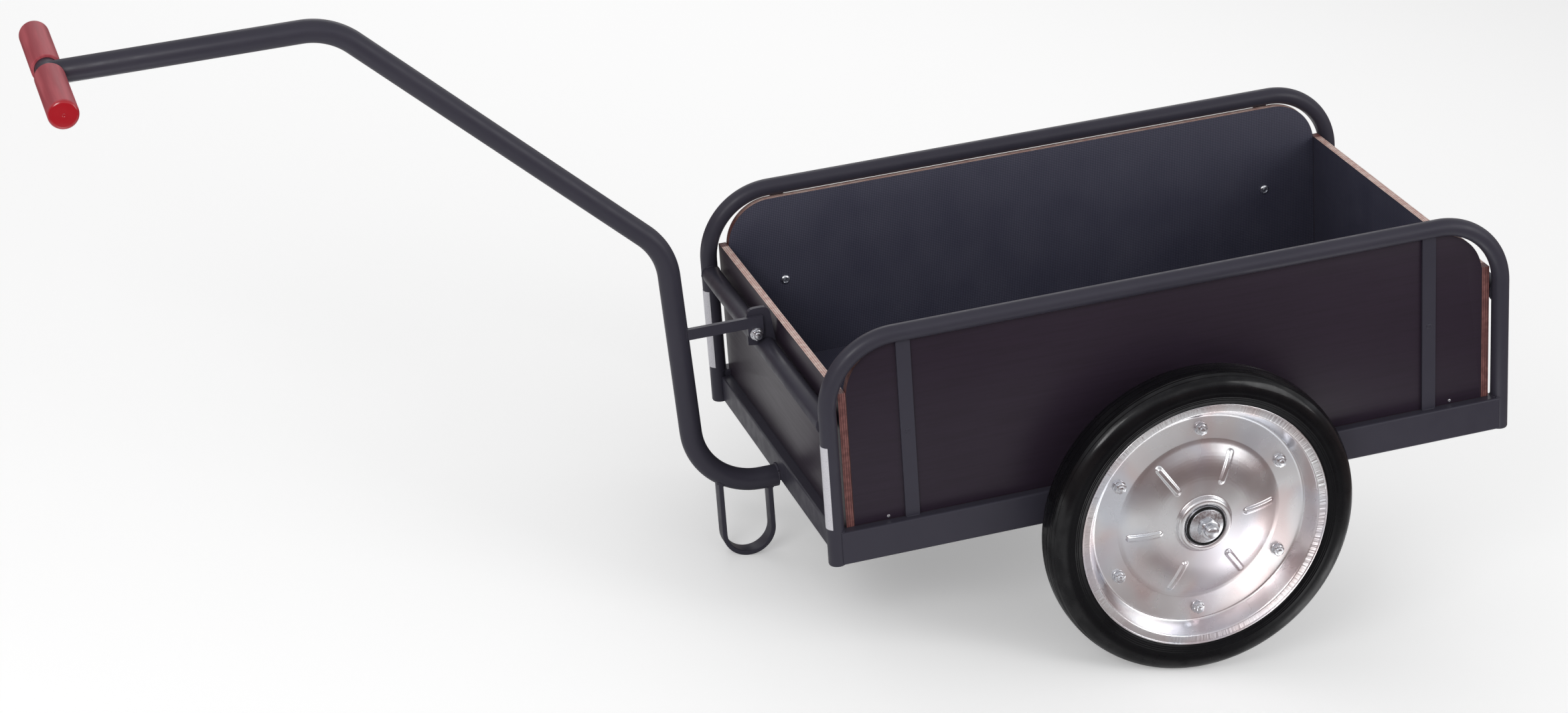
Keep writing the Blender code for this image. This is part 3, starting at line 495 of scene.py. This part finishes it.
def arc(before, corner, after, radius, steps):
    """Points of the arc that rounds a flat corner."""
    before, corner, after = Vector(before), Vector(corner), Vector(after)
    back, ahead = (before - corner).normalized(), (after - corner).normalized()
    half = back.angle(ahead) / 2
    centre = corner + (back + ahead).normalized() * radius / math.sin(half)
    first = corner + back * radius / math.tan(half) - centre
    last = corner + ahead * radius / math.tan(half) - centre
    turn = first.angle_signed(last)
    points = []
    for i in range(steps + 1):
        a = -turn * i / steps
        points.append((centre.x + first.x * math.cos(a) - first.y * math.sin(a),
                       centre.y + first.x * math.sin(a) + first.y * math.cos(a)))
    return points


def rounded(corners, steps, closed=False):
    """A flat line through corners (u, v) or (u, v, radius), each with a radius rounded to an arc."""
    spots = [(c[0], c[1]) for c in corners]
    radii = [c[2] if len(c) > 2 else 0.0 for c in corners]
    points = []
    for i, spot in enumerate(spots):
        inner = closed or 0 < i < len(spots) - 1
        if inner and radii[i]:
            points += arc(spots[i - 1], spot, spots[(i + 1) % len(spots)], radii[i], steps)
        else:
            points.append(spot)
    return points


def mitre(before, spot, after):
    """The step to the left of a flat line at one of its corners, for a parallel line at a distance of 1."""
    one, two = (spot - before).normalized(), (after - spot).normalized()
    left, also = Vector((-one.y, one.x)), Vector((-two.y, two.x))
    return (left + also) / (1 + left.dot(also))


def inset(points, gap):
    """A flat closed line moved inwards by a gap."""
    spots = [Vector(p) for p in points]
    area = sum(a.x * b.y - b.x * a.y for a, b in zip(spots, spots[1:] + spots[:1]))
    gap = gap if area > 0 else -gap
    return [tuple(spot + mitre(spots[i - 1], spot, spots[(i + 1) % len(spots)]) * gap)
            for i, spot in enumerate(spots)]


def softened(low, high, edge):
    """Stations (depth, drop) from low to high, which soften an edge at both ends."""
    near = [(low + edge * depth, edge * drop) for depth, drop in EDGE_STEPS]
    far = [(high - edge * depth, edge * drop) for depth, drop in EDGE_STEPS[::-1]]
    return near + far


def circle(radius, sides=48):
    return [(radius * math.cos(a), radius * math.sin(a)) for a in full_turn(sides)]


def board(name, points, low, high, place, mats, node):
    """A plywood board over a flat outline, with materials for its low face, its edges and its high face."""
    rings = [[place(u, v, depth) for u, v in inset(points, drop)]
             for depth, drop in softened(low, high, BOARD_EDGE)]
    verts, faces = grid(rings)
    piece(name, verts, faces, mats, "plywood", which=[1] * (len(faces) - 2) + [0, 2], replaces=[node])


def swept(name, path, section, y, shares, node):
    """A painted bar: a section of (side, across) points, sized by shares along a path of (x, z) at a y."""
    spots = [Vector(p) for p in path]
    spots = [2 * spots[0] - spots[1]] + spots + [2 * spots[-1] - spots[-2]]
    rings = []
    for before, spot, after, share in zip(spots, spots[1:], spots[2:], shares):
        step = mitre(before, spot, after) * share
        rings.append([chassis(spot.x + step.x * s, y + a * share, spot.y + step.y * s) for s, a in section])
    piece(name, *grid(rings), *PAINTED, replaces=[node])


def round_tube(name, path, radius, y, edge, node):
    """A painted round tube along a path of (x, z) at a y, with softened ends."""
    first, last = Vector(path[0]), Vector(path[-1])
    start, end = (Vector(path[1]) - first).normalized(), (last - Vector(path[-2])).normalized()
    stations = [(first + start * edge * depth, 1 - edge * drop / radius) for depth, drop in EDGE_STEPS]
    stations += [(p, 1.0) for p in path[1:-1]]
    stations += [(last - end * edge * depth, 1 - edge * drop / radius) for depth, drop in EDGE_STEPS[::-1]]
    swept(name, [p for p, _ in stations], circle(radius), y, [share for _, share in stations], node)


def along_y(name, x, z, radius, half, node):
    """A painted round bar along y with softened ends."""
    rings = [[chassis(x + u, y, z + v) for u, v in circle(radius - drop)]
             for y, drop in softened(-half, half, BAR_EDGE)]
    piece(name, *grid(rings), *PAINTED, replaces=[node])


def turned(name, centre, side, profile, mats, slot, body, angles=96, shape=None, **more):
    """A closed (radius, offset) profile turned about a line along y through a centre, outward to a side."""
    if isinstance(angles, int):
        angles = full_turn(angles)
    rings = []
    for a in angles:
        spots = [shape(r, o, a) for r, o in profile] if shape else profile
        rings.append([(centre[0] + r * math.cos(a), centre[1] + side * o, centre[2] + r * math.sin(a))
                      for r, o in spots])
    piece(name, *grid(rings, looped=True), mats, slot, body=body, origin=centre, **more)


def hoops():
    path = rounded([(FRONT_X, LEG_BOTTOM), (FRONT_X, HOOP_TOP, BEND_RADIUS),
                    (REAR_X, HOOP_TOP, BEND_RADIUS), (REAR_X, LEG_BOTTOM)], 28)
    for side, name in SIDES:
        round_tube(f"hoop_tube_{name}", path, HOOP_R, side * HOOP_Y, HOOP_EDGE, f"hoop_{name}")


def t_handle():
    along_y("t_handle_tube", HANDLE_X, HANDLE_Z, T_TUBE_R, T_TUBE_HALF, "t_handle")
    bore = T_TUBE_R + SEAT
    line = rounded([(NEAR_AXIS, GRIP_END - 0.0004), (0.0014, GRIP_END - 0.0004, 0.0004),
                    (0.0020, GRIP_END, 0.0004), (GRIP_R, GRIP_END - 0.0010, 0.0048),
                    (GRIP_R, GRIP_START, 0.0010), (bore, GRIP_START), (bore, GRIP_FLOOR),
                    (NEAR_AXIS, GRIP_FLOOR)], 8)
    for side, name in SIDES:
        turned(f"grip_cover_{name}", chassis(HANDLE_X, 0, HANDLE_Z), side, line, [GRIP], "grip", "cart",
               angles=64, replaces=[f"grip_{name}"], sharp=50)


def foot():
    radius = (FOOT_LEGS_X[0] - FOOT_LEGS_X[1]) / 2
    middle = sum(FOOT_LEGS_X) / 2
    path = [(FOOT_LEGS_X[0], RAIL_BOTTOM + 0.016)]
    path += [(middle + radius * math.cos(a), FOOT_ARC_Z - radius * math.sin(a))
             for a in [math.pi * i / 40 for i in range(41)]]
    path.append((FOOT_LEGS_X[1], RAIL_BOTTOM - 0.006))
    section = rounded([(u * FOOT_HALF_DEPTH, v * FOOT_HALF_WIDTH, 0.0012)
                       for u, v in ((1, 1), (-1, 1), (-1, -1), (1, -1))], 4, closed=True)
    swept("foot_bar", path, section, 0.0, [1.0] * len(path), "foot")


def boards():
    rear, front = BOX_REAR + SEAT, BOX_FRONT - SEAT
    outline = rounded([(rear, SIDE_BOTTOM, 0.001), (rear, SIDE_TOP, SIDE_CORNER),
                       (front, SIDE_TOP, SIDE_CORNER), (front, SIDE_BOTTOM, 0.001)], 24, closed=True)
    for side, name in SIDES:
        board(f"board_side_{name}", outline, PANEL_OUTER_Y - PLY, PANEL_OUTER_Y,
              lambda u, v, w: chassis(u, side * w, v), [MESH_SIDE, EDGE_SIDE, FILM], f"side_panel_{name}")
    half = [(BETWEEN_RAILS, FLOOR_Z), (BETWEEN_RAILS, SIDE_BOTTOM), (PANEL_OUTER_Y, SIDE_BOTTOM),
            (PANEL_OUTER_Y, END_TOP)]
    outline = half + [(-u, v) for u, v in half[::-1]]
    ends = (("front", BOX_FRONT, 1, EDGE_FRONT), ("rear", BOX_REAR, -1, EDGE_REAR))
    for name, inner, outward, rim in ends:
        board(f"board_{name}", outline, 0.0, PLY, lambda u, v, w: chassis(inner + outward * w, u, v),
              [MESH_END, rim, FILM_END], f"{name}_panel")
    reach = PANEL_OUTER_Y - PLY - SEAT
    board("board_floor", [(rear, -reach), (front, -reach), (front, reach), (rear, reach)],
          FLOOR_Z, FLOOR_Z + PLY, chassis, [FILM, EDGE_FLOOR, MESH_FLOOR], "floor_panel")


def smooth_step(value, low, high):
    share = min(1.0, max(0.0, (value - low) / (high - low)))
    return share * share * (3 - 2 * share)


def ribbed(r, o, a):
    """A shape function that raises a disc where its ribs are pressed."""
    inner, outer, height = 0.0585, 0.0935, 0.0027
    rise = 0.0
    if inner - 0.008 < r < outer + 0.008:
        for angle in RIB_ANGLES:
            turn = (a - angle + math.pi) % (2 * math.pi) - math.pi
            if abs(turn) < 0.3:
                along, across = r * math.cos(turn), r * math.sin(turn)
                away = math.hypot(max(inner - along, 0.0, along - outer), across)
                rise = max(rise, height * (1 - smooth_step(away, 0.0019, 0.0050)))
    return r, o + rise


def pressing_profile():
    """The closed profile of a pressed disc half with its lip, from the bore out and back."""
    face = rounded([
        (HUB_R + SEAT, 0.0180), (HUB_R + SEAT, 0.0235, 0.0042), (0.0347, 0.0235, 0.0043),
        (0.0366, 0.0163, 0.0018), (0.0743, 0.01355, 0.12), (0.1015, 0.0034, 0.028),
        (0.1062, DISC_FACE, 0.010), (0.1388, DISC_FACE, 0.005), (0.1497, 0.0232, 0.003),
        (0.1585, 0.0238)], 8)
    fine = []
    for (r0, o0), (r1, o1) in zip(face, face[1:]):
        ribs_here = r1 > 0.048 and r0 < 0.101
        steps = max(1, math.ceil((r1 - r0) / 0.0013)) if ribs_here else 1
        fine += [(r0 + (r1 - r0) * i / steps, o0 + (o1 - o0) * i / steps) for i in range(steps)]
    fine.append(face[-1])
    back = []
    for i in range(0, len(face), 2):
        before, after = face[max(0, i - 1)], face[min(len(face) - 1, i + 1)]
        along = Vector((after[0] - before[0], after[1] - before[1])).normalized()
        back.append((face[i][0] + along.y * SHEET, face[i][1] - along.x * SHEET))
    lip = rounded([(0.1588, 0.0238), (0.1594, 0.0252, 0.0006), (0.1612, 0.0252, 0.0008),
                   (0.1612, 0.0222)], 4)
    return fine + lip + back[::-1]


def fine_angles():
    """Angles round a disc, closer together over its ribs."""
    angles = {round(math.radians(2.5 * i), 5) for i in range(144)}
    for angle in RIB_ANGLES:
        angles |= {round((angle + math.radians(0.45 * i)) % (2 * math.pi), 5) for i in range(-12, 13)}
    merged = []
    for a in sorted(angles):
        if not merged or a - merged[-1] > 0.003:
            merged.append(a)
    return merged


def tyre_profile():
    """A rounded tread with grooves, a smooth shoulder, and fine lines on the sidewall by the lip."""
    base, bulge, power = 0.176, 0.024, 2.6

    def crown(offset):
        share = max(0.0, 1 - (offset / TYRE_HALF) ** power)
        return base + bulge * share ** (1 / power)

    # Each groove's offset, half width and depth.
    grooves = ((0.0052, 0.0008, 0.0014), (0.0118, 0.0007, 0.0012), (0.0146, 0.0007, 0.0012),
               (0.0196, 0.0004, 0.0005))
    half = [(WHEEL_R, 0.0)]
    offsets = [0.0017 * i for i in range(1, 13)]
    offsets += [0.0222, 0.0238, 0.0252, 0.0263, 0.0271, 0.0276, 0.02795]
    for offset in offsets:
        if all(abs(offset - g) > w + 0.0004 for g, w, _ in grooves):
            half.append((crown(offset), offset))
    for g, w, depth in grooves:
        half += [(crown(g - w), g - w), (crown(g) - depth, g - w * 0.45), (crown(g) - depth, g + w * 0.45),
                 (crown(g + w), g + w)]
    half.sort(key=lambda p: p[1])
    half.append((base, TYRE_HALF))
    for r in (0.1716, 0.1692, 0.1668):
        o = TYRE_HALF - (base - r) * 0.16
        half += [(r + 0.0007, o), (r + 0.0002, o + 0.0003), (r - 0.0003, o + 0.0003), (r - 0.0008, o)]
    half += [(0.1640, 0.0258), (0.1622, 0.0252), (0.1613, 0.0238), (0.1613, 0.0215), (0.1540, 0.0212)]
    return half[::-1] + [(r, -o) for r, o in half if o > 0] + [(0.1445, -0.001), (0.1445, 0.001)]


def hexagon(flats, top, both=False):
    """A shape function that trims a nut to a hexagon, with its corners turned off at one end or both."""
    def shape(r, o, a):
        flat = flats / 2 / math.cos((a + math.pi / 6) % (math.pi / 3) - math.pi / 6)
        away = min(top - o, o) if both else top - o
        cone = flats / 2 * 0.985 + away * 1.75
        return min(r, flat, max(cone, flats / 2 * 0.95)), o
    return shape


def thread_line(radius, low, start, high, pitch, depth):
    """A bar's profile from low to its chamfered end, threaded from start."""
    line = [(NEAR_AXIS, low), (radius, low)]
    if start > low:
        line.append((radius, start))
    o = start
    while o + pitch < high - 0.0015:
        line += [(radius - depth, o + pitch * 0.5), (radius, o + pitch * 0.9), (radius, o + pitch)]
        o += pitch
    line += [(radius, high - 0.0015), (radius - 0.0013, high), (NEAR_AXIS, high)]
    return line[::-1]


def bolt(name, near, far, side, body):
    """A bolt of 8 mm: head and washer on the near face, nut and threaded end on the far one."""
    head = [(NEAR_AXIS, 0.0090), (0.0021, 0.0090), (0.0032, 0.0086), (0.0038, 0.0078), (0.0038, 0.0070),
            (0.0052, 0.0070), (0.0062, 0.0067), (0.0076, 0.0062), (0.0076, 0.0052), (0.0076, 0.0015),
            (NEAR_AXIS, 0.0015)]
    washer = rounded([(NEAR_AXIS, 0.0016), (0.0083, 0.0016, 0.0004), (0.0083, 0.0001),
                      (NEAR_AXIS, 0.0001)], 2)
    nut =[(0.0041, 0.0064), (0.0056, 0.0064), (0.0064, 0.0060), (0.0076, 0.0056), (0.0076, 0.0010),
           (0.0066, 0.0001), (0.0041, 0.0001)]
    end = thread_line(0.0040, -0.002, -0.002, 0.0094, 0.00125, 0.0006)
    trim = hexagon(BOLT_FLATS, 0.0070)

    def shape(r, o, a):
        return trim(r, o, a) if r > 0.005 else (r, o)

    turned(f"{name}_head", near, side, head, *PLATED, body, angles=48, shape=shape,
           replaces=[name], sharp=25)
    turned(f"{name}_washer", near, side, washer, *PLATED, body, angles=40)
    turned(f"{name}_nut", far, -side, nut, *PLATED, body, angles=48,
           shape=hexagon(BOLT_FLATS, 0.0064, both=True), sharp=25)
    turned(f"{name}_end", far, -side, end, *PLATED, body, angles=32, sharp=60)


def fasten(side, name, body, centre):
    """Bolts, hub, seal, washer, nut and the threaded end of the axle at one wheel."""
    for i, angle in enumerate(BOLT_ANGLES):
        x, z = centre[0] + BOLT_CIRCLE * math.cos(angle), centre[2] + BOLT_CIRCLE * math.sin(angle)
        bolt(f"wheel_bolt_{name}_{i + 1}", (x, centre[1] + side * DISC_FACE, z),
             (x, centre[1] - side * DISC_FACE, z), side, body)
    bore = AXLE_R + 0.0004
    hub = rounded([(bore, HUB_OUT), (HUB_R, HUB_OUT, 0.001), (HUB_R, HUB_IN, 0.001), (bore, HUB_IN)], 4)
    turned(f"hub_{name}_sleeve", centre, side, hub, *PLATED, body, replaces=[f"hub_{name}"])
    low, high = HUB_OUT + 0.0001, HUB_OUT + 0.0018
    seal = rounded([(0.0229, low), (0.0229, high, 0.0007), (0.0256, high, 0.0009), (0.0256, low)], 4)
    turned(f"seal_{name}_ring", centre, side, seal, [SEAL], "rubber", body, replaces=[f"seal_{name}"])
    low, bore = HUB_OUT + SEAT, AXLE_R + 0.0002
    cup = rounded([(bore, low), (bore, low + 0.0040), (0.0128, low + 0.0040, 0.004),
                   (0.0222, low + 0.0016, 0.0008), (0.0222, low)], 5)
    turned(f"washer_{name}_cup", centre, side, cup, *PLATED, "cart", replaces=[f"washer_{name}"])
    low = HUB_OUT + 0.0046
    nut = [(bore, low + 0.0100), (0.0108, low + 0.0100), (0.0120, low + 0.0094), (0.0132, low + 0.0086),
           (0.0140, low + 0.0078), (0.0140, low + 0.0016), (0.0124, low), (bore, low)]
    turned(f"nut_{name}_hex", centre, side, nut, *PLATED, "cart", shape=hexagon(NUT_FLATS, low + 0.0100),
           replaces=[f"nut_{name}"], sharp=25)
    turned(f"spindle_{name}_end", centre, side, thread_line(AXLE_R, -0.0462, 0.026, 0.0460, 0.0015, 0.0007),
           *PLATED, "cart", angles=48, replaces=[f"spindle_{name}"], sharp=60)


def wheels():
    tyre = tyre_profile()
    pressing = pressing_profile()
    angles = fine_angles()
    for side, name in SIDES:
        body = f"wheel_{name}"
        centre = (AXLE.x, side * AXLE.y, AXLE.z)
        turned(f"tyre_{name}_tread", centre, side, tyre, [TREAD], "rubber", body, angles=144,
               replaces=[f"tyre_{name}"], sharp=42)
        turned(f"disc_{name}_outer", centre, side, pressing, [ZINC], "zinc", body, angles=angles,
               shape=ribbed, replaces=[f"disc_{name}", f"rim_{name}"], sharp=60)
        turned(f"disc_{name}_inner", centre, -side, pressing, [ZINC], "zinc", body, angles=angles,
               shape=ribbed, replaces=[f"disc_inner_{name}"], sharp=60)
        fasten(side, name, body, centre)


def tapes():
    """A strip of tape round the forward half of each front leg."""
    turn = [TAPE_REACH * (i / 12 - 1) for i in range(25)]
    section = [(HOOP_R + 0.00035, a) for a in turn] + [(HOOP_R - 0.0004, a) for a in turn[::-1]]
    for side, name in SIDES:
        rings = [[chassis(FRONT_X + r * math.cos(a), side * HOOP_Y + r * math.sin(a), z)
                  for r, a in section] for z in (TAPE_BOTTOM, TAPE_TOP)]
        piece(f"tape_{name}", *grid(rings), [TAPE], "powder_coat")


def dome_screw(name, spot, out, radius, rise, mats, slot, ringed=False):
    """A low screw head with a socket, standing on a point and facing along a chassis direction."""
    socket = [(NEAR_AXIS, rise * 0.55), (radius * 0.34, rise * 0.55), (radius * 0.42, rise)]
    if ringed:
        socket = [(NEAR_AXIS, rise), (radius * 0.26, rise), (radius * 0.34, rise * 0.3),
                  (radius * 0.54, rise * 0.3), (radius * 0.62, rise)]
    rim = [(radius, rise * 0.6, radius * 0.3), (radius, -0.0004), (NEAR_AXIS, -0.0004)]
    line = rounded(socket + rim, 4)
    turn = Vector((0, 1, 0)).rotation_difference(CHASSIS.to_3x3() @ Vector(out)).to_matrix()
    centre = chassis(*spot)
    rings = [[centre + turn @ Vector((r * math.cos(a), o, r * math.sin(a))) for r, o in line]
             for a in full_turn(32)]
    piece(name, *grid(rings, looped=True), mats, slot)


def screws():
    """Bolts through the straps and side panels, and small screws in the panels' feet."""
    for side, name in SIDES:
        for x, ahead, end in STRAPS:
            dome_screw(f"strap_screw_{name}_{end}", (x, side * STRAP_FACE_Y, STRAP_SCREW_Z), (0, side, 0),
                       0.0036, 0.0008, *PAINTED)
            dome_screw(f"inside_screw_{name}_{end}", (x, side * (PANEL_OUTER_Y - PLY), STRAP_SCREW_Z),
                       (0, -side, 0), 0.0063, 0.0026, *PLATED, ringed=True)
            spot = (x + ahead * FOOT_SCREW_AWAY, side * PANEL_OUTER_Y, SIDE_BOTTOM + 0.004)
            dome_screw(f"foot_screw_{name}_{end}", spot, (0, side, 0), 0.0022, 0.0008, *PLATED)


def bead(name, spots, closed=False, radius=0.0013):
    """A weld laid along spots of the level chassis, with the ripple of its drops."""
    path = [chassis(*s) for s in spots]
    lengths = [(b - a).length for a, b in zip(path, path[1:] + path[:1])]
    total = sum(lengths if closed else lengths[:-1])
    steps = max(8, round(total / 0.0011))
    rings = []
    for i in range(steps if closed else steps + 1):
        reach, k = total * i / steps, 0
        while k < len(lengths) - 1 and reach > lengths[k]:
            reach -= lengths[k]
            k += 1
        start, end = path[k], path[(k + 1) % len(path)]
        along = (end - start).normalized()
        centre = start + along * min(reach, lengths[k])
        across = along.orthogonal().normalized()
        other = along.cross(across)
        size = radius * (0.92 + 0.16 * math.cos(i * 2 * math.pi / 3))
        if not closed:
            size *= math.sin(math.pi * (0.12 + 0.76 * i / steps)) ** 0.5
        rings.append([centre + (across * u + other * v) * size for u, v in circle(1.0, 8)])
    piece(name, *grid(rings, looped=closed), *PAINTED, sharp=80)


def under_drawbar(x, y):
    """The height of the drawbar's lower surface, before its riser."""
    line = [Vector(p) for p in rounded(DRAWBAR_CORNERS[:3], DRAWBAR_STEPS)]
    reach = math.sqrt(DRAWBAR_R ** 2 - y ** 2)
    spots = []
    for a, b in zip(line, line[1:]):
        along = (b - a).normalized()
        spots += [a.lerp(b, i / 8) + Vector((along.y, -along.x)) * reach for i in range(8)]
    return min(spots, key=lambda s: abs(s.x - x)).y


def saddle(x, side):
    """Spots where a crossbar meets the inner side of a leg."""
    spots = []
    for u, v in circle(CROSSBAR_R, 32):
        away = min(abs(u), HOOP_R - 0.0016)
        y = HOOP_Y - math.sqrt(HOOP_R ** 2 - away ** 2)
        spots.append((x + u, side * (y - SEAT), CROSSBAR_Z + v))
    return spots


def welds():
    angles = [math.radians(15 * i) for i in range(-5, 6)]
    collar = [(HOOP_R * math.cos(a), HOOP_R * math.sin(a)) for a in angles]
    for side, name in SIDES:
        for x, inward, end in ENDS:
            bead(f"weld_crossbar_{name}_{end}", saddle(x, side), closed=True, radius=0.0009)
            spots = [(x + inward * u, side * HOOP_Y + v, RAIL_TOP) for u, v in collar]
            bead(f"weld_rail_{name}_{end}", spots)
            face, y = x + inward * 0.0015, side * (BETWEEN_RAILS + SEAT / 2)
            spots = [(face, y, RAIL_BOTTOM + 0.002), (face, y, RAIL_BOTTOM + 0.033)]
            bead(f"weld_member_{name}_{end}", spots, radius=0.0010)
        for x, _, end in STRAPS:
            for at, z in (("foot", RAIL_TOP), ("head", HOOP_TOP - HOOP_R)):
                spots = [(x + reach, side * STRAP_FACE_Y, z) for reach in (-STRAP_HALF, STRAP_HALF)]
                bead(f"weld_strap_{at}_{name}_{end}", spots, radius=0.0010)
    root = DRAWBAR_R + SEAT
    angles = [math.radians(a) for a in range(-4, 185, 8)]
    spots = [(FRONT_X - 0.0008, root * math.cos(a), DRAWBAR_Z + root * math.sin(a)) for a in angles]
    bead("weld_drawbar_root", spots, radius=0.0018)
    across = [v / 1000 for v in range(-10, 11, 2)]
    for x, end in zip(FOOT_LEGS_X, ("front", "rear")):
        loop = [(x + 0.0032, y) for y in across] + [(x - 0.0032, y) for y in across[::-1]]
        bead(f"weld_foot_{end}", [(u, v, under_drawbar(u, v)) for u, v in loop], closed=True)
    half, near, far = 0.0072, 0.0095, 0.0031
    loop = [(near, -half), (near, half), (far, half), (far, -half)]
    spots = [(STRUT_RISER_X - math.sqrt(DRAWBAR_R ** 2 - v ** 2), v, STRUT_Z + w) for v, w in loop]
    bead("weld_strut", spots, closed=True)


hoops()
round_tube("drawbar_tube", rounded(DRAWBAR_CORNERS, DRAWBAR_STEPS), DRAWBAR_R, 0.0, DRAWBAR_EDGE, "drawbar")
t_handle()
foot()
for x, _, end in ENDS:
    along_y(f"crossbar_{end}_tube", x, CROSSBAR_Z, CROSSBAR_R, CROSSBAR_HALF, f"crossbar_{end}")
boards()
wheels()
bolt("brace_bolt", chassis(BRACE_BOLT_X, BRACE_NEAR_Y, BRACE_BOLT_Z),
     chassis(BRACE_BOLT_X, BRACE_FAR_Y, BRACE_BOLT_Z), 1, "cart")
tapes()
screws()
welds()


def lamp(name, place, target, size, power):
    data = bpy.data.lights.new(name, "AREA")
    data.shape = "RECTANGLE"
    data.size, data.size_y = size
    data.energy = power
    obj = bpy.data.objects.new(name, data)
    obj.location = place
    obj.rotation_euler = (Vector(target) - Vector(place)).to_track_quat("-Z", "Y").to_euler()
    bpy.context.scene.collection.objects.link(obj)


def world():
    """A pale surround: dim as light, white to the camera, and a room with a dark horizon in reflections."""
    made = bpy.data.worlds.new("Studio")
    bpy.context.scene.world = made
    tree = Tree(made)
    rays = tree.nodes.new("ShaderNodeLightPath").outputs
    room = tree.nodes.new("ShaderNodeValToRGB")
    ramp = room.color_ramp.elements
    ramp[0].color = (0.20, 0.15, 0.145, 1)
    ramp[1].color = (0.6, 0.6, 0.62, 1)
    for position, colour in ((0.16, (0.24, 0.18, 0.18, 1)), (0.34, (0.62, 0.63, 0.67, 1)),
                             (0.55, (1.0, 1.0, 1.0, 1)), (0.72, (0.6, 0.6, 0.62, 1))):
        ramp.new(position).color = colour
    tree.join(tree.axes(tree.node("TexCoord", "Generated"))[2], room.inputs[0])
    back = tree.nodes["Background"].inputs
    tree.join(tree.mix(rays["Is Glossy Ray"], (1.0, 1.0, 1.0), room.outputs[0]), back["Color"])
    seen = tree.math("MAXIMUM", rays["Is Camera Ray"], rays["Is Transmission Ray"])
    seen = tree.math("MAXIMUM", seen, rays["Is Glossy Ray"])
    tree.join(tree.span(seen, 0.0, 1.0, AMBIENT, 1.0), back["Strength"])


def floor():
    """A pale floor. Reflections show it darker round the cart, with a brownish blob and a bright patch."""
    s = Shader("Pale floor", (0.86, 0.86, 0.86), 0.9)
    s.set("Specular IOR Level", 0.1)
    rays = s.nodes.new("ShaderNodeLightPath").outputs
    mirrored = s.node("VectorMath", operation="ABSOLUTE", Vector=s.place)

    def spread(near, far, x, y):
        """One at a spot of the floor and its mirror image, falling to nought at a distance."""
        offset = s.node("Mapping", Vector=mirrored, Location=(-x, -y, 0.0))
        away = s.node("VectorMath", "Value", operation="LENGTH", Vector=offset)
        return s.span(away, near, far, 1.0, 0.0)

    shown = s.mix(spread(0.78, 1.30, 0.50, 0.0), (0.20, 0.150, 0.145), (0.92, 0.92, 0.93))
    shown = s.mix(spread(0.02, 0.20, 0.50, 0.50), shown, (0.42, 0.36, 0.355))
    s.paint("Base Color", s.mix(rays["Is Glossy Ray"], (0.86, 0.86, 0.86), shown))
    patch = s.math("MULTIPLY", rays["Is Glossy Ray"], spread(0.04, 0.24, 0.82, 0.50))
    s.set("Emission Color", (1.0, 1.0, 1.0, 1.0))
    s.paint("Emission Strength", s.math("ADD", s.math("MULTIPLY", rays["Is Camera Ray"], CAMERA_GLOW),
                                        s.math("MULTIPLY", patch, PATCH_GLOW)))
    bm = bmesh.new()
    bmesh.ops.create_circle(bm, cap_ends=True, segments=96, radius=FLOOR_RADIUS)
    mesh = bpy.data.meshes.new("floor")
    bm.to_mesh(mesh)
    bm.free()
    mesh.materials.append(s.mat)
    obj = bpy.data.objects.new("floor", mesh)
    bpy.context.scene.collection.objects.link(obj)


def camera():
    data = bpy.data.cameras.new("Camera")
    data.lens = LENS
    data.sensor_width = SENSOR_WIDTH
    data.shift_x, data.shift_y = SHIFT
    data.clip_end = 100.0
    obj = bpy.data.objects.new("Camera", data)
    right = CAMERA_RIGHT.normalized()
    back = right.cross(CAMERA_UP).normalized()
    up = back.cross(right)
    turn = Matrix((right, up, back)).transposed().to_4x4()
    obj.matrix_world = Matrix.Translation(CAMERA_AT) @ turn
    bpy.context.scene.collection.objects.link(obj)
    bpy.context.scene.camera = obj


camera()
floor()
world()
lamp("Key", (2.7, 3.5, 2.5), (0, 0, 0.2), (1.6, 1.6), 66.0)
lamp("Fill", (-3.0, 2.6, 2.0), (-0.4, 0, 0.2), (2.0, 2.0), 32.0)
lamp("Back", (-0.6, -3.2, 2.4), (0, 0, 0.3), (3.0, 1.6), 16.0)

bpy.context.scene.view_settings.view_transform = "Standard"
